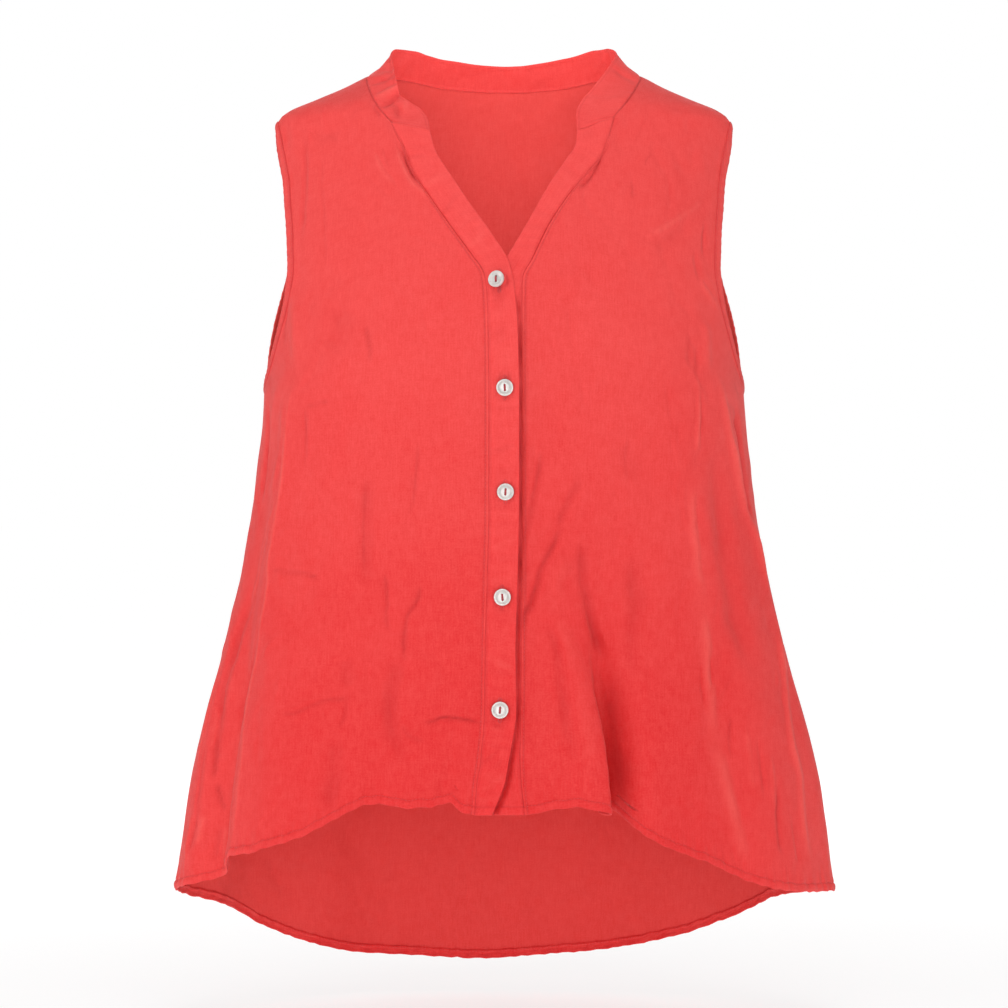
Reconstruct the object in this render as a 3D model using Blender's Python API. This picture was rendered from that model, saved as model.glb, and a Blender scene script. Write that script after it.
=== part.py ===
# Sleeveless button-up shirt with a band collar, a V neck, a buttoned front band and a high-low hem.
# X runs from the wearer's right to the wearer's left, Y from front to back, Z up.
# The origin lies midway between the shoulders, level with the point where shoulder and neck meet.
import bmesh
import bpy
import math
import numpy as np
from mathutils import Matrix

for item in list(bpy.data.objects):
    bpy.data.objects.remove(item, do_unlink=True)

MM = 0.001

# Cloth and sewing, in millimetres
PANEL_WALL = 1.4
BAND_WALL = 2.2
COLLAR_WALL = 2.2
BINDING_WALL = 2.2
HEM_WALL = 2.2
SEAM_PULL = 0.22
OVERLAP_RISE = 2.8
BINDING_WIDTH = 6.5

# Buttons, in millimetres
BUTTON_RADIUS = 7.6
BUTTON_THICK = 2.6
BUTTON_DISH = 0.9
BUTTON_HOLE_RADIUS = 0.9
BUTTON_HOLE_SPACING = 3.6
BUTTON_GAP = 0.35
BUTTON_SIDES = 20
HOLE_SIDES = 8

# Level sections of the body: height, half width, depth in front, depth behind, roundness of each
SECTIONS = np.array([
    # z, half_width, front_depth, back_depth, front_power, back_power
    (12, 100, 42, 70, 1.90, 2.00),
    (3, 119, 52, 77, 1.80, 2.00),
    (-8, 143, 60, 85, 1.72, 2.00),
    (-18, 167, 66, 92, 1.68, 2.00),
    (-28, 187, 72, 98, 1.66, 2.00),
    (-36, 198, 77, 102, 1.65, 2.00),
    (-44, 201.5, 82, 106, 1.66, 2.02),
    (-80, 203, 99, 118, 1.80, 2.10),
    (-120, 204, 117, 126, 1.98, 2.20),
    (-160, 205, 132, 130, 2.15, 2.30),
    (-200, 206.5, 143, 131, 2.28, 2.35),
    (-245, 208.5, 150, 131, 2.35, 2.40),
    (-300, 211.5, 151, 129, 2.35, 2.38),
    (-343, 216, 150, 128, 2.33, 2.35),
    (-380, 221, 150, 128, 2.30, 2.32),
    (-413, 227, 150.5, 129, 2.28, 2.30),
    (-448, 233.6, 151.5, 130.5, 2.26, 2.28),
    (-484, 242, 153, 132.5, 2.24, 2.25),
    (-520, 251.3, 155, 135, 2.22, 2.22),
    (-554, 261, 158, 138, 2.20, 2.20),
    (-590, 270, 161, 141.5, 2.17, 2.17),
    (-625, 277, 164, 145, 2.14, 2.15),
    (-660, 282, 166, 149, 2.12, 2.12),
    (-711, 289, 169, 155, 2.10, 2.10),
    (-800, 297, 174, 166, 2.10, 2.10),
], dtype=float)[::-1]

# Folds that hang in the cloth: turn around the body, height, half spread, depth out (+) or in (-), drag to the wearer's left
FOLDS = {
    "right_ridge": [
        # z, degrees, spread, depth, drag
        (-250, -56, 4.5, 0.0, 0),
        (-330, -61, 4.5, 2.5, 0),
        (-420, -61.4, 4.5, 4.0, 0),
        (-510, -60.5, 4.5, 5.0, 0),
        (-600, -56.5, 4.5, 7.0, 0),
        (-680, -55, 4.5, 8.0, 0),
    ],
    "right_pleat": [
        (-300, -70, 6, 0, 0),
        (-360, -70, 6, -2, 0),
        (-450, -70, 6, -6, 0),
        (-540, -69, 6, -9, 3),
        (-620, -68, 6, -12, 7),
        (-700, -67.5, 6, -13, 9),
        (-800, -67.5, 6, -13, 9),
    ],
    "right_front_dip": [
        (-400, -25, 5, 0, 0),
        (-500, -24.5, 5, -3, 0),
        (-600, -23, 5, -5.5, 0),
        (-680, -22.8, 5, -7, 0),
    ],
    "beside_band_dip": [
        (-520, -9.5, 3, 0, 0),
        (-600, -9.3, 3, -2.5, 0),
        (-680, -9.3, 3, -3, 0),
    ],
    "left_flare": [
        (-380, 22, 4.2, 0, 0),
        (-440, 20.5, 4.2, -3, 0),
        (-500, 18.5, 4.2, -7, 0),
        (-560, 19.2, 4.0, -11, 0),
        (-620, 19.0, 3.8, -15, 0),
        (-700, 18.7, 3.8, -17, 0),
    ],
    "left_lobe": [
        (-440, 28, 6, 0, 0),
        (-560, 27, 6, 3.5, 0),
        (-700, 26.5, 6, 5, 0),
    ],
    "left_ridge": [
        (-260, 61, 5, 0, 0),
        (-344, 68.8, 5, 2.5, 0),
        (-457, 77, 5, 3.5, 0),
        (-569, 78, 5, 4, 0),
        (-700, 77, 5, 4.5, 0),
    ],
    "left_side_dip": [
        (-420, 47, 6, 0, 0),
        (-540, 46, 6, -4, 0),
        (-700, 44, 6, -7, 0),
    ],
    "back_dip_right": [
        (-330, -112, 7, 0, 0),
        (-520, -114, 7, -6, 0),
        (-800, -116, 7, -12, 0),
    ],
    "back_dip_mid_right": [
        (-260, -141, 7, 0, 0),
        (-500, -143, 7, -5, 0),
        (-800, -146, 7, -11, 0),
    ],
    "back_dip_mid_left": [
        (-290, 153, 8, 0, 0),
        (-520, 151, 8, -6, 0),
        (-800, 149, 8, -12, 0),
    ],
    "back_dip_left": [
        (-350, 119, 7, 0, 0),
        (-560, 118, 7, -6, 0),
        (-800, 116, 7, -10, 0),
    ],
}

# Front bands: way up the front, sewn edge across and up, free edge across and up
UPPER_BAND = np.array([
    # way, seam_x, seam_z, edge_x, edge_z
    (0.000, -24.0, -632, -8.3, -632),
    (0.060, -22.0, -607, -3.0, -605),
    (0.120, -18.5, -584, 5.0, -588),
    (0.200, -15.5, -545, 10.0, -545),
    (0.300, -15.0, -497, 9.5, -497),
    (0.400, -13.5, -440, 11.2, -440),
    (0.500, -12.0, -372, 12.6, -372),
    (0.600, -12.0, -284, 12.6, -284),
    (0.635, -12.6, -230, 11.2, -222),
    (0.668, -13.4, -200, 8.2, -188),
    (0.705, -16.0, -180, 3.2, -168),
    (0.755, -26.0, -164, -6.0, -152),
    (0.825, -43.5, -140, -23.0, -127),
    (0.885, -61.0, -115, -39.0, -103),
    (0.930, -76.0, -91, -50.5, -85),
    (0.965, -86.0, -66.5, -59.0, -70),
    (1.000, -96.3, -45, -63.5, -53),
])
LOWER_BAND = np.array([
    # way, seam_x, seam_z, edge_x, edge_z
    (0.000, 19.0, -632, -7.0, -632),
    (0.060, 17.5, -607, -9.0, -607),
    (0.120, 16.0, -584, -11.0, -584),
    (0.200, 14.8, -545, -12.2, -545),
    (0.300, 14.4, -497, -12.6, -497),
    (0.400, 14.4, -440, -12.4, -440),
    (0.500, 14.4, -372, -12.2, -372),
    (0.600, 14.4, -284, -12.2, -284),
    (0.635, 14.4, -230, -12.4, -226),
    (0.668, 14.4, -201, -10.8, -195),
    (0.705, 15.2, -183, -6.0, -179),
    (0.755, 22.5, -168, 1.5, -167),
    (0.825, 37.0, -138, 20.5, -134),
    (0.885, 54.5, -111, 40.0, -99),
    (0.930, 70.5, -91, 53.0, -79),
    (0.965, 83.5, -74, 61.0, -66),
    (1.000, 94.0, -40, 62.5, -53.6),
])

# Neck seam from the end of a front band up to the shoulder, and round behind
FRONT_NECK_RIGHT = np.array([
    # share, x, z
    (0.00, -96.3, -45), (0.25, -105.0, -35), (0.50, -112.6, -23.2), (0.75, -118.3, -9.5),
    (0.90, -120.3, -0.8), (1.00, -119.0, 3.0),
])
FRONT_NECK_LEFT = np.array([
    (0.00, 94.0, -40), (0.25, 102.5, -30), (0.50, 110.0, -19.5), (0.75, 116.6, -7.6),
    (0.90, 119.6, -0.5), (1.00, 119.0, 3.0),
])
BACK_NECK = np.array([
    (0.00, -119.0, 3.0), (0.07, -111.5, 5.8), (0.15, -98.0, 6.6), (0.25, -79.0, 5.0), (0.37, -48.0, 0.6),
    (0.50, 0.0, -1.2), (0.63, 48.0, 0.6), (0.75, 79.0, 5.0), (0.85, 98.0, 6.6), (0.93, 111.5, 5.8),
    (1.00, 119.0, 3.0),
])

# Upper edge of the band collar, from the right front end round behind to the left front end
COLLAR_TOP = np.array([
    # share, x, y, z
    (0.000, -63.5, -79, -53), (0.050, -65.5, -67, -42.5), (0.100, -69.5, -56, -32),
    (0.160, -79.0, -45, -18.0), (0.215, -90.0, -29, -1.5), (0.260, -97.0, -13, 11.5),
    (0.300, -99.5, 1, 21.5), (0.340, -94.0, 17, 29.0), (0.385, -80.0, 36, 30.4),
    (0.430, -54.0, 52, 24.5), (0.500, 0.0, 64, 19.7), (0.570, 54.0, 52, 25.0),
    (0.615, 80.0, 33, 30.4), (0.660, 92.5, 15, 30.0), (0.700, 98.2, -2, 22.5),
    (0.740, 94.5, -15, 13.8), (0.785, 86.5, -30, 1.0), (0.840, 76.5, -44, -13.0),
    (0.900, 67.4, -56, -24.5), (0.950, 62.0, -67, -37.5), (1.000, 62.5, -79.6, -53.6),
])
COLLAR_SHOULDER_SHARE = 0.28

# Edge of an armhole seen from the side, from the shoulder down the front and up behind
ARMHOLE = np.array([
    # y, z
    (0, -44), (-11, -61), (-22, -81), (-32, -100), (-41, -119), (-50, -137), (-58, -156), (-65, -175),
    (-67, -194), (-65, -213), (-59, -231), (-50, -246), (-37, -258), (-19, -266), (0, -269), (15, -259),
    (26, -238), (37, -214), (46, -191), (52, -170), (54, -150), (51, -130), (45, -112), (37, -95),
    (26, -78), (12, -59),
], dtype=float)
ARMHOLE_UNDERARM = 14

# Lower edges: turn around the body in degrees and height
HEM_RIGHT = np.array([
    (5, -632), (7.5, -629), (9.5, -622), (13, -626), (18, -627), (22, -624), (25, -625), (28, -631),
    (32.5, -640), (38, -651), (44, -658), (50.5, -664), (56, -668), (62, -671), (68, -676), (75, -689),
    (82, -702), (90, -711),
], dtype=float)
HEM_LEFT = np.array([
    (3.9, -632), (7, -628), (10, -625.5), (13, -630), (16.5, -633), (19, -629), (21, -632), (23.5, -645),
    (27.7, -658), (31.5, -665), (38.7, -677), (45.5, -690), (53.5, -700), (61.5, -705), (75, -708),
    (90, -711),
], dtype=float)
HEM_BACK = np.array([
    (-90, -711), (-80, -716), (-70, -723), (-62, -731), (-54, -744), (-46, -757), (-38, -769),
    (-28, -780), (-15, -788), (0, -793), (12, -789), (24, -785), (35, -777), (44, -764), (52, -750),
    (60, -737), (70, -723), (80, -714), (90, -711),
], dtype=float)

# Buttons, top to bottom: across, up, lean of the face in degrees
BUTTONS = [(-4.0, -186, 14), (0.6, -276, 0), (1.2, -363, 0), (-1.4, -451, 0), (-3.4, -545, 0)]

# How finely each panel is divided
ACROSS_RIGHT = [0, .05, .10, .15, .195, .24, .29, .35, .42, .49, .54, .58, .61, .64, .67, .70, .73, .76,
                .79, .83, .88, .94, 1]
ACROSS_LEFT = [0, .05, .10, .14, .17, .20, .235, .28, .33, .39, .45, .51, .57, .63, .69, .75, .80,
               .85, .90, .95, 1]
ACROSS_BACK = 28
UNDERARM_WAY = 0.60
SHOULDER_WAY = 0.93
LOWER_FADE = 0.55
UPPER_FADE = 0.62
UP_SIDE = [0, .011, .014, .06, .11, .16, .21, .26, .31, .36, .41, .46, .51, .555]
UP_ARMHOLE = 14
UP_SHOULDER = 4
ACROSS_BAND = 3


def smooth_line(xs, ys, at):
    """Curve through the points that never overshoots them."""
    xs = np.asarray(xs, float)
    ys = np.asarray(ys, float)
    at = np.asarray(at, float)
    step = np.diff(xs)
    rise = np.diff(ys) / step
    slope = np.zeros_like(ys)
    w_a = 2 * step[1:] + step[:-1]
    w_b = step[1:] + 2 * step[:-1]
    same = rise[:-1] * rise[1:] > 0
    low = np.where(same, rise[:-1], 1.0)
    high = np.where(same, rise[1:], 1.0)
    slope[1:-1] = np.where(same, (w_a + w_b) / (w_a / low + w_b / high), 0.0)
    slope[0] = rise[0]
    slope[-1] = rise[-1]
    k = np.clip(np.searchsorted(xs, at) - 1, 0, len(xs) - 2)
    t = np.clip((at - xs[k]) / step[k], 0.0, 1.0)
    return ((2 * t**3 - 3 * t**2 + 1) * ys[k] + (t**3 - 2 * t**2 + t) * step[k] * slope[k]
            + (-2 * t**3 + 3 * t**2) * ys[k + 1] + (t**3 - t**2) * step[k] * slope[k + 1])


def ramp(value):
    t = np.clip(value, 0.0, 1.0)
    return t * t * (3 - 2 * t)


def section(z):
    return [smooth_line(SECTIONS[:, 0], SECTIONS[:, column], z) for column in range(1, 6)]


def body_point(degrees, z, rise=0.0):
    """Point of the cloth at a turn around the body and a height, with its folds."""
    degrees = np.asarray(degrees, float)
    z = np.asarray(z, float)
    half, front, back, front_power, back_power = section(z)
    turn = np.radians(degrees)
    across = np.abs(np.sin(turn))
    ahead = np.abs(degrees) <= 90
    depth = np.where(ahead, front, back)
    power = np.where(ahead, front_power, back_power)
    x = half * np.sin(turn)
    y = np.where(ahead, -1.0, 1.0) * depth * np.maximum(1 - across**power, 0.0) ** (1 / power)
    out_x = x / half**2
    out_y = y / depth**2
    size = np.hypot(out_x, out_y)
    out_x, out_y = out_x / size, out_y / size
    for rows in FOLDS.values():
        rows = np.array(rows, float)[::-1]
        middle = smooth_line(rows[:, 0], rows[:, 1], z)
        spread = smooth_line(rows[:, 0], rows[:, 2], z)
        depth_here = smooth_line(rows[:, 0], rows[:, 3], z)
        drag = smooth_line(rows[:, 0], rows[:, 4], z)
        away = (degrees - middle + 180) % 360 - 180
        share = np.exp(-((away / spread) ** 2))
        x = x + share * (depth_here * out_x + drag)
        y = y + share * depth_here * out_y
    lift = rise * ramp((x + 80) / 55) * ramp((-105 - z) / 45)
    return np.stack([x, y - lift, z], axis=-1)


def turn_of(x, z, behind=False):
    """Turn around the body in degrees of a point across and up."""
    half = section(z)[0]
    degrees = np.degrees(np.arcsin(np.clip(np.asarray(x) / half, -1, 1)))
    if behind:
        degrees = np.where(degrees < 0, -180 - degrees, 180 - degrees)
    return degrees


def armhole_loop(count_front, count_back, width):
    """Armhole edge and its seam in (y, z), from the shoulder round and back to it."""
    total = len(ARMHOLE)
    marks = np.concatenate([
        np.linspace(0, ARMHOLE_UNDERARM, count_front + 1)[:-1],
        np.linspace(ARMHOLE_UNDERARM, total, count_back + 1),
    ])

    def at(mark):
        k = int(math.floor(mark)) % total
        t = mark - math.floor(mark)
        a, b, c, d = [ARMHOLE[(k + step) % total] for step in (-1, 0, 1, 2)]
        return 0.5 * (2 * b + (c - a) * t + (2 * a - 5 * b + 4 * c - d) * t**2
                      + (3 * b - a - 3 * c + d) * t**3)

    edge = np.array([at(mark % total) for mark in marks])
    along = np.array([at((mark + 0.05) % total) - at((mark - 0.05) % total) for mark in marks])
    along /= np.linalg.norm(along, axis=1)[:, None]
    outward = np.stack([along[:, 1], -along[:, 0]], axis=1)
    seam = edge + width * outward
    for mark in (0, count_front, len(marks) - 1):
        seam[mark, 0] = 0.0
    return edge, seam


def side_turn(y, z):
    """Turn around the body, 0 to 180 degrees, of a point near the side from its depth and height."""
    half, front, back, front_power, back_power = section(z)
    ahead = y <= 0
    depth = np.where(ahead, front, back)
    power = np.where(ahead, front_power, back_power)
    share = (1 - np.clip(np.abs(y) / depth, 0, 1) ** power) ** (1 / power)
    degrees = np.degrees(np.arcsin(np.clip(share, 0, 1)))
    return np.where(ahead, degrees, 180 - degrees)


def patch(inner, outer, lower, upper, across, way):
    """Fill four borders given as (degrees, z) rows; the lower and upper shapes fade out along the way."""
    u = np.asarray(across)[:, None, None]
    v = np.asarray(way)[None, :, None]
    straight = (1 - u) * inner[None] + u * outer[None]
    lower_bow = lower[:, None] - (1 - u) * lower[0] - u * lower[-1]
    upper_bow = upper[:, None] - (1 - u) * upper[0] - u * upper[-1]
    return straight + lower_bow * ramp(1 - v / LOWER_FADE) + upper_bow * ramp((v - UPPER_FADE) / (1 - UPPER_FADE))


def grid_normals(points):
    du = np.gradient(points, axis=0)
    dv = np.gradient(points, axis=1)
    normal = np.cross(du, dv)
    return normal / np.maximum(np.linalg.norm(normal, axis=2), 1e-9)[:, :, None]


def face_out(points, normals):
    """Turn the normals away from the middle of the body."""
    middle = np.array([0.0, 0.0, 0.0])
    middle[2] = points[..., 2].mean()
    ray = points - middle
    ray[..., 2] = 0
    if np.mean(np.sum(ray * normals, axis=-1)) < 0:
        return -normals
    return normals


def unit(vectors):
    return vectors / np.maximum(np.linalg.norm(vectors, axis=-1), 1e-9)[..., None]


def pull_in(points, sides):
    """Draw the named borders of a grid in by the gap kept at a seam."""
    out = points.copy()
    borders = {
        "start": (out[0], points[0], points[1]),
        "end": (out[-1], points[-1], points[-2]),
        "low": (out[:, 0], points[:, 0], points[:, 1]),
        "high": (out[:, -1], points[:, -1], points[:, -2]),
    }
    for side in sides:
        moved, border, inside = borders[side]
        along = unit(np.gradient(border, axis=0))
        inward = inside - border
        inward = inward - along * np.sum(inward * along, axis=-1)[:, None]
        moved += SEAM_PULL * unit(inward)
    return out


def material(name, color, roughness):
    made = bpy.data.materials.new(name)
    made.use_nodes = True
    shader = made.node_tree.nodes["Principled BSDF"]
    shader.inputs["Base Color"].default_value = (*color, 1)
    shader.inputs["Roughness"].default_value = roughness
    return made


def sewn_piece(name, points, normals, thickness, cloth, closed=False):
    """Closed solid either side of a grid of points."""
    count_u, count_v = points.shape[:2]
    half = np.asarray(thickness, float)[..., None] / 2
    outer = points + normals * half
    inner = points - normals * half
    verts = np.concatenate([outer.reshape(-1, 3), inner.reshape(-1, 3)]) * MM
    shift = count_u * count_v

    def index(i, j):
        return (i % count_u) * count_v + j

    faces = []
    for i in range(count_u if closed else count_u - 1):
        for j in range(count_v - 1):
            quad = (index(i, j), index(i + 1, j), index(i + 1, j + 1), index(i, j + 1))
            faces.append(quad)
            faces.append(tuple(shift + k for k in reversed(quad)))
    rim = []
    for i in range(count_u if closed else count_u - 1):
        rim.append((index(i + 1, 0), index(i, 0)))
        rim.append((index(i, count_v - 1), index(i + 1, count_v - 1)))
    if not closed:
        for j in range(count_v - 1):
            rim.append((index(0, j), index(0, j + 1)))
            rim.append((index(count_u - 1, j + 1), index(count_u - 1, j)))
    for a, b in rim:
        faces.append((a, b, shift + b, shift + a))
    along = np.gradient(points, axis=0)
    up = np.gradient(points, axis=1)
    if np.mean(np.sum(np.cross(along, up) * normals, axis=-1)) < 0:
        faces = [tuple(reversed(face)) for face in faces]
    mesh = bpy.data.meshes.new(name)
    mesh.from_pydata([tuple(v) for v in verts], [], faces)
    mesh.materials.append(cloth)
    mesh.validate()
    piece = bpy.data.objects.new(name, mesh)
    bpy.context.collection.objects.link(piece)
    return piece


def button(name, across, up, lean, shell):
    """Two-hole button lying on the upper band, made at its place."""
    turns = float(turn_of(across, up))
    here = body_point(turns, up, OVERLAP_RISE)
    right = unit(body_point(float(turn_of(across + 2.0, up)), up, OVERLAP_RISE) - here)
    above = unit(body_point(turns, up + 2.0, OVERLAP_RISE) - here)
    outward = unit(np.cross(right, above))
    tilt = math.radians(lean)
    outward = unit(outward * math.cos(tilt) - right * math.sin(tilt))
    above = unit(above - outward * np.dot(above, outward))
    right = np.cross(above, outward)
    base = here + outward * (BAND_WALL / 2 + BUTTON_GAP + BUTTON_RADIUS * math.sin(abs(tilt)))
    profile = [
        # radius, height
        (BUTTON_RADIUS * 0.78, 0.0),
        (BUTTON_RADIUS * 0.98, BUTTON_THICK * 0.40),
        (BUTTON_RADIUS, BUTTON_THICK * 0.70),
        (BUTTON_RADIUS * 0.90, BUTTON_THICK),
        (BUTTON_RADIUS * 0.70, BUTTON_THICK * 0.93),
        (BUTTON_RADIUS * 0.50, BUTTON_THICK - BUTTON_DISH),
    ]
    disc = bmesh.new()
    rings = []
    for radius, height in profile:
        angles = [2 * math.pi * k / BUTTON_SIDES for k in range(BUTTON_SIDES)]
        rings.append([disc.verts.new((radius * math.cos(a), radius * math.sin(a), height)) for a in angles])
    for low, high in zip(rings, rings[1:]):
        for k in range(BUTTON_SIDES):
            n = (k + 1) % BUTTON_SIDES
            disc.faces.new((low[k], low[n], high[n], high[k]))
    disc.faces.new(tuple(reversed(rings[0])))
    disc.faces.new(tuple(rings[-1]))
    mesh = bpy.data.meshes.new(name)
    disc.to_mesh(mesh)
    disc.free()
    mesh.materials.append(shell)
    blank = bpy.data.objects.new(name, mesh)
    bpy.context.collection.objects.link(blank)
    drill = bmesh.new()
    for centre in (BUTTON_HOLE_SPACING / 2, -BUTTON_HOLE_SPACING / 2):
        bmesh.ops.create_cone(
            drill, cap_ends=True, segments=HOLE_SIDES, radius1=BUTTON_HOLE_RADIUS,
            radius2=BUTTON_HOLE_RADIUS, depth=BUTTON_THICK * 3,
            matrix=Matrix.Translation((0, centre, BUTTON_THICK / 2)))
    drill_mesh = bpy.data.meshes.new("drill")
    drill.to_mesh(drill_mesh)
    drill.free()
    drill_mesh.materials.append(shell)
    cutter = bpy.data.objects.new("drill", drill_mesh)
    bpy.context.collection.objects.link(cutter)
    cut = blank.modifiers.new("holes", "BOOLEAN")
    cut.operation = "DIFFERENCE"
    cut.solver = "EXACT"
    cut.object = cutter
    seen = blank.evaluated_get(bpy.context.evaluated_depsgraph_get())
    drilled = bpy.data.meshes.new_from_object(seen)
    drilled.name = name
    blank.modifiers.clear()
    blank.data = drilled
    bpy.data.objects.remove(cutter, do_unlink=True)
    for vertex in drilled.vertices:
        a, b, c = vertex.co
        vertex.co = (base + right * a + above * b + outward * c) * MM
    for polygon in drilled.polygons:
        polygon.use_smooth = len(polygon.vertices) == 4
    return blank


def side_border(hem_z, behind):
    """Border of a panel from hem to neck at the side: side seam, armhole seam and shoulder seam."""
    underarm = seam_loop[UP_ARMHOLE, 1]
    side = [(90, hem_z + (underarm - hem_z) * way / UNDERARM_WAY) for way in UP_SIDE]
    part = seam_loop[UP_ARMHOLE:] if behind else seam_loop[UP_ARMHOLE::-1]
    turned = side_turn(part[:, 0], part[:, 1])
    turned = 180 - turned if behind else turned
    turned[0] = turned[-1] = 90
    armhole = list(zip(turned, part[:, 1]))
    start = section(part[-1, 1])[0]
    widths = np.linspace(start, -BACK_NECK[0, 1], UP_SHOULDER + 1)[1:]
    shoulder = [(90, smooth_line(SHOULDER_LINE[:, 0], SHOULDER_LINE[:, 1], width)) for width in widths]
    rows = np.array(side + armhole + shoulder, float)
    rows[-1, 1] = BACK_NECK[0, 2]
    return rows


def front_panel(sign, band, neck, hem, across):
    """Grid of a front from its band seam to the side, as points."""
    x = smooth_line(band[:, 0], band[:, 1], ways)
    z = smooth_line(band[:, 0], band[:, 2], ways)
    inner = np.stack([turn_of(x, z) * sign, z], axis=1)
    outer = side_border(hem[-1, 1], False)
    share = np.asarray(across)
    neck_x = smooth_line(neck[:, 0], neck[:, 1], share)
    neck_z = smooth_line(neck[:, 0], neck[:, 2], share)
    upper = np.stack([turn_of(neck_x, neck_z) * sign, neck_z], axis=1)
    upper[0] = inner[-1]
    upper[-1] = outer[-1]
    turned = inner[0, 0] + (90 - inner[0, 0]) * share
    lower = np.stack([turned, smooth_line(hem[:, 0], hem[:, 1], turned)], axis=1)
    lower[0] = inner[0]
    domain = patch(inner, outer, lower, upper, share, ways)
    return body_point(sign * domain[..., 0], domain[..., 1], OVERLAP_RISE if sign < 0 else 0.0)


def back_panel():
    share = np.linspace(0, 1, ACROSS_BACK + 1)
    right = side_border(HEM_BACK[0, 1], True) * (-1, 1)
    left = side_border(HEM_BACK[-1, 1], True)
    x = smooth_line(BACK_NECK[:, 0], BACK_NECK[:, 1], share)
    z = smooth_line(BACK_NECK[:, 0], BACK_NECK[:, 2], share)
    upper = np.stack([turn_of(x, z), z], axis=1)
    upper[0] = right[-1]
    upper[-1] = left[-1]
    turned = -90 + 180 * share
    lower = np.stack([turned, smooth_line(HEM_BACK[:, 0], HEM_BACK[:, 1], turned)], axis=1)
    domain = patch(right, left, lower, upper, share, ways)
    turned = np.clip(domain[..., 0], -89.9999, 89.9999)
    return body_point(np.where(turned < 0, turned + 180, turned - 180) * -1, domain[..., 1])


def band_strip(band, rise):
    """Grid across a front band, free edge to seam, hem to neck."""
    share = np.linspace(0, 1, ACROSS_BAND + 1)[:, None]
    columns = [smooth_line(band[:, 0], band[:, k], ways) for k in range(1, 5)]
    x = columns[2] * (1 - share) + columns[0] * share
    z = columns[3] * (1 - share) + columns[1] * share
    return body_point(turn_of(x, z), z, rise)


def collar_grid():
    """Grid of the band collar from one front end round behind to the other, seam to upper edge."""
    lower = np.concatenate([right_points[:, -1], back_points[1:-1, -1], left_points[::-1, -1]])
    ahead = COLLAR_SHOULDER_SHARE
    along = np.concatenate([
        np.asarray(ACROSS_RIGHT) * ahead,
        ahead + (1 - 2 * ahead) * np.linspace(0, 1, ACROSS_BACK + 1)[1:-1],
        1 - np.asarray(ACROSS_LEFT)[::-1] * ahead,
    ])
    upper = np.stack([smooth_line(COLLAR_TOP[:, 0], COLLAR_TOP[:, k], along) for k in (1, 2, 3)], axis=1)
    upper[0] = upper_strip[0, -1]
    upper[-1] = lower_strip[0, -1]
    share = np.linspace(0, 1, ACROSS_BAND + 1)[None, :, None]
    points = lower[:, None] * (1 - share) + upper[:, None] * share
    points[0] = upper_strip[::-1, -1]
    points[-1] = lower_strip[::-1, -1]
    return points


def binding_grid(sign):
    """Grid round an armhole, shoulder to shoulder, sewn edge to outer edge."""
    border = np.stack([side_turn(seam_loop[:, 0], seam_loop[:, 1]), seam_loop[:, 1]], axis=1)[:-1]
    edge = np.stack([side_turn(edge_loop[:, 0], edge_loop[:, 1]), edge_loop[:, 1]], axis=1)[:-1]
    share = np.array([0, 0.5, 1])[None, :, None]
    domain = border[:, None] * (1 - share) + edge[:, None] * share
    return body_point(sign * domain[..., 0], domain[..., 1])


def wall_of(points, hem_rows):
    thickness = np.full(points.shape[:2], PANEL_WALL)
    thickness[:, :hem_rows] = HEM_WALL
    return thickness


SHOULDER_LINE = SECTIONS[-7:][::-1, 1::-1]
ways = np.array(
    UP_SIDE
    + list(np.linspace(UNDERARM_WAY, SHOULDER_WAY, UP_ARMHOLE + 1))
    + list(np.linspace(SHOULDER_WAY, 1.0, UP_SHOULDER + 1)[1:]))
edge_loop, seam_loop = armhole_loop(UP_ARMHOLE, UP_ARMHOLE, BINDING_WIDTH)

right_points = front_panel(-1, UPPER_BAND, FRONT_NECK_RIGHT, HEM_RIGHT, ACROSS_RIGHT)
left_points = front_panel(1, LOWER_BAND, FRONT_NECK_LEFT, HEM_LEFT, ACROSS_LEFT)
back_points = back_panel()
upper_strip = band_strip(UPPER_BAND, OVERLAP_RISE)
lower_strip = band_strip(LOWER_BAND, 0.0)
collar_points = collar_grid()

right_normals = face_out(right_points, grid_normals(right_points))
left_normals = face_out(left_points, grid_normals(left_points))
back_normals = face_out(back_points, grid_normals(back_points))
collar_normals = face_out(collar_points, grid_normals(collar_points))

# Seams between pieces share one direction of thickness, so neighbours never cross
on_seam = np.ones(len(ways), bool)
on_seam[len(UP_SIDE) + 1:len(UP_SIDE) + UP_ARMHOLE] = False
for normals, edge in ((right_normals, -1), (left_normals, -1), (back_normals, 0), (back_normals, -1)):
    normals[edge, on_seam, 1] = 0
    normals[edge] = unit(normals[edge])
last_right = len(ACROSS_RIGHT)
last_back = last_right + ACROSS_BACK - 1
neck = np.concatenate([right_normals[:, -1], back_normals[1:-1, -1], left_normals[::-1, -1]])
shared = unit(neck + collar_normals[:, 0])
collar_normals[:, 0] = shared
upper_normals = face_out(upper_strip, grid_normals(upper_strip))
lower_normals = face_out(lower_strip, grid_normals(lower_strip))
collar_normals[0] = upper_normals[::-1, -1]
collar_normals[-1] = lower_normals[::-1, -1]
shared[0] = collar_normals[0, 0]
shared[-1] = collar_normals[-1, 0]
upper_normals[-1] = right_normals[0]
lower_normals[-1] = left_normals[0]
right_normals[:, -1] = shared[:last_right]
back_normals[1:-1, -1] = shared[last_right:last_back]
back_normals[0, -1] = shared[last_right - 1]
back_normals[-1, -1] = shared[last_back]
left_normals[:, -1] = shared[last_back:][::-1]
right_normals[0] = upper_normals[-1]
left_normals[0] = lower_normals[-1]

cloth = material("coral woven cloth", (0.83, 0.07, 0.06), 0.75)
shell = material("pale shell", (0.70, 0.68, 0.65), 0.25)

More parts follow.
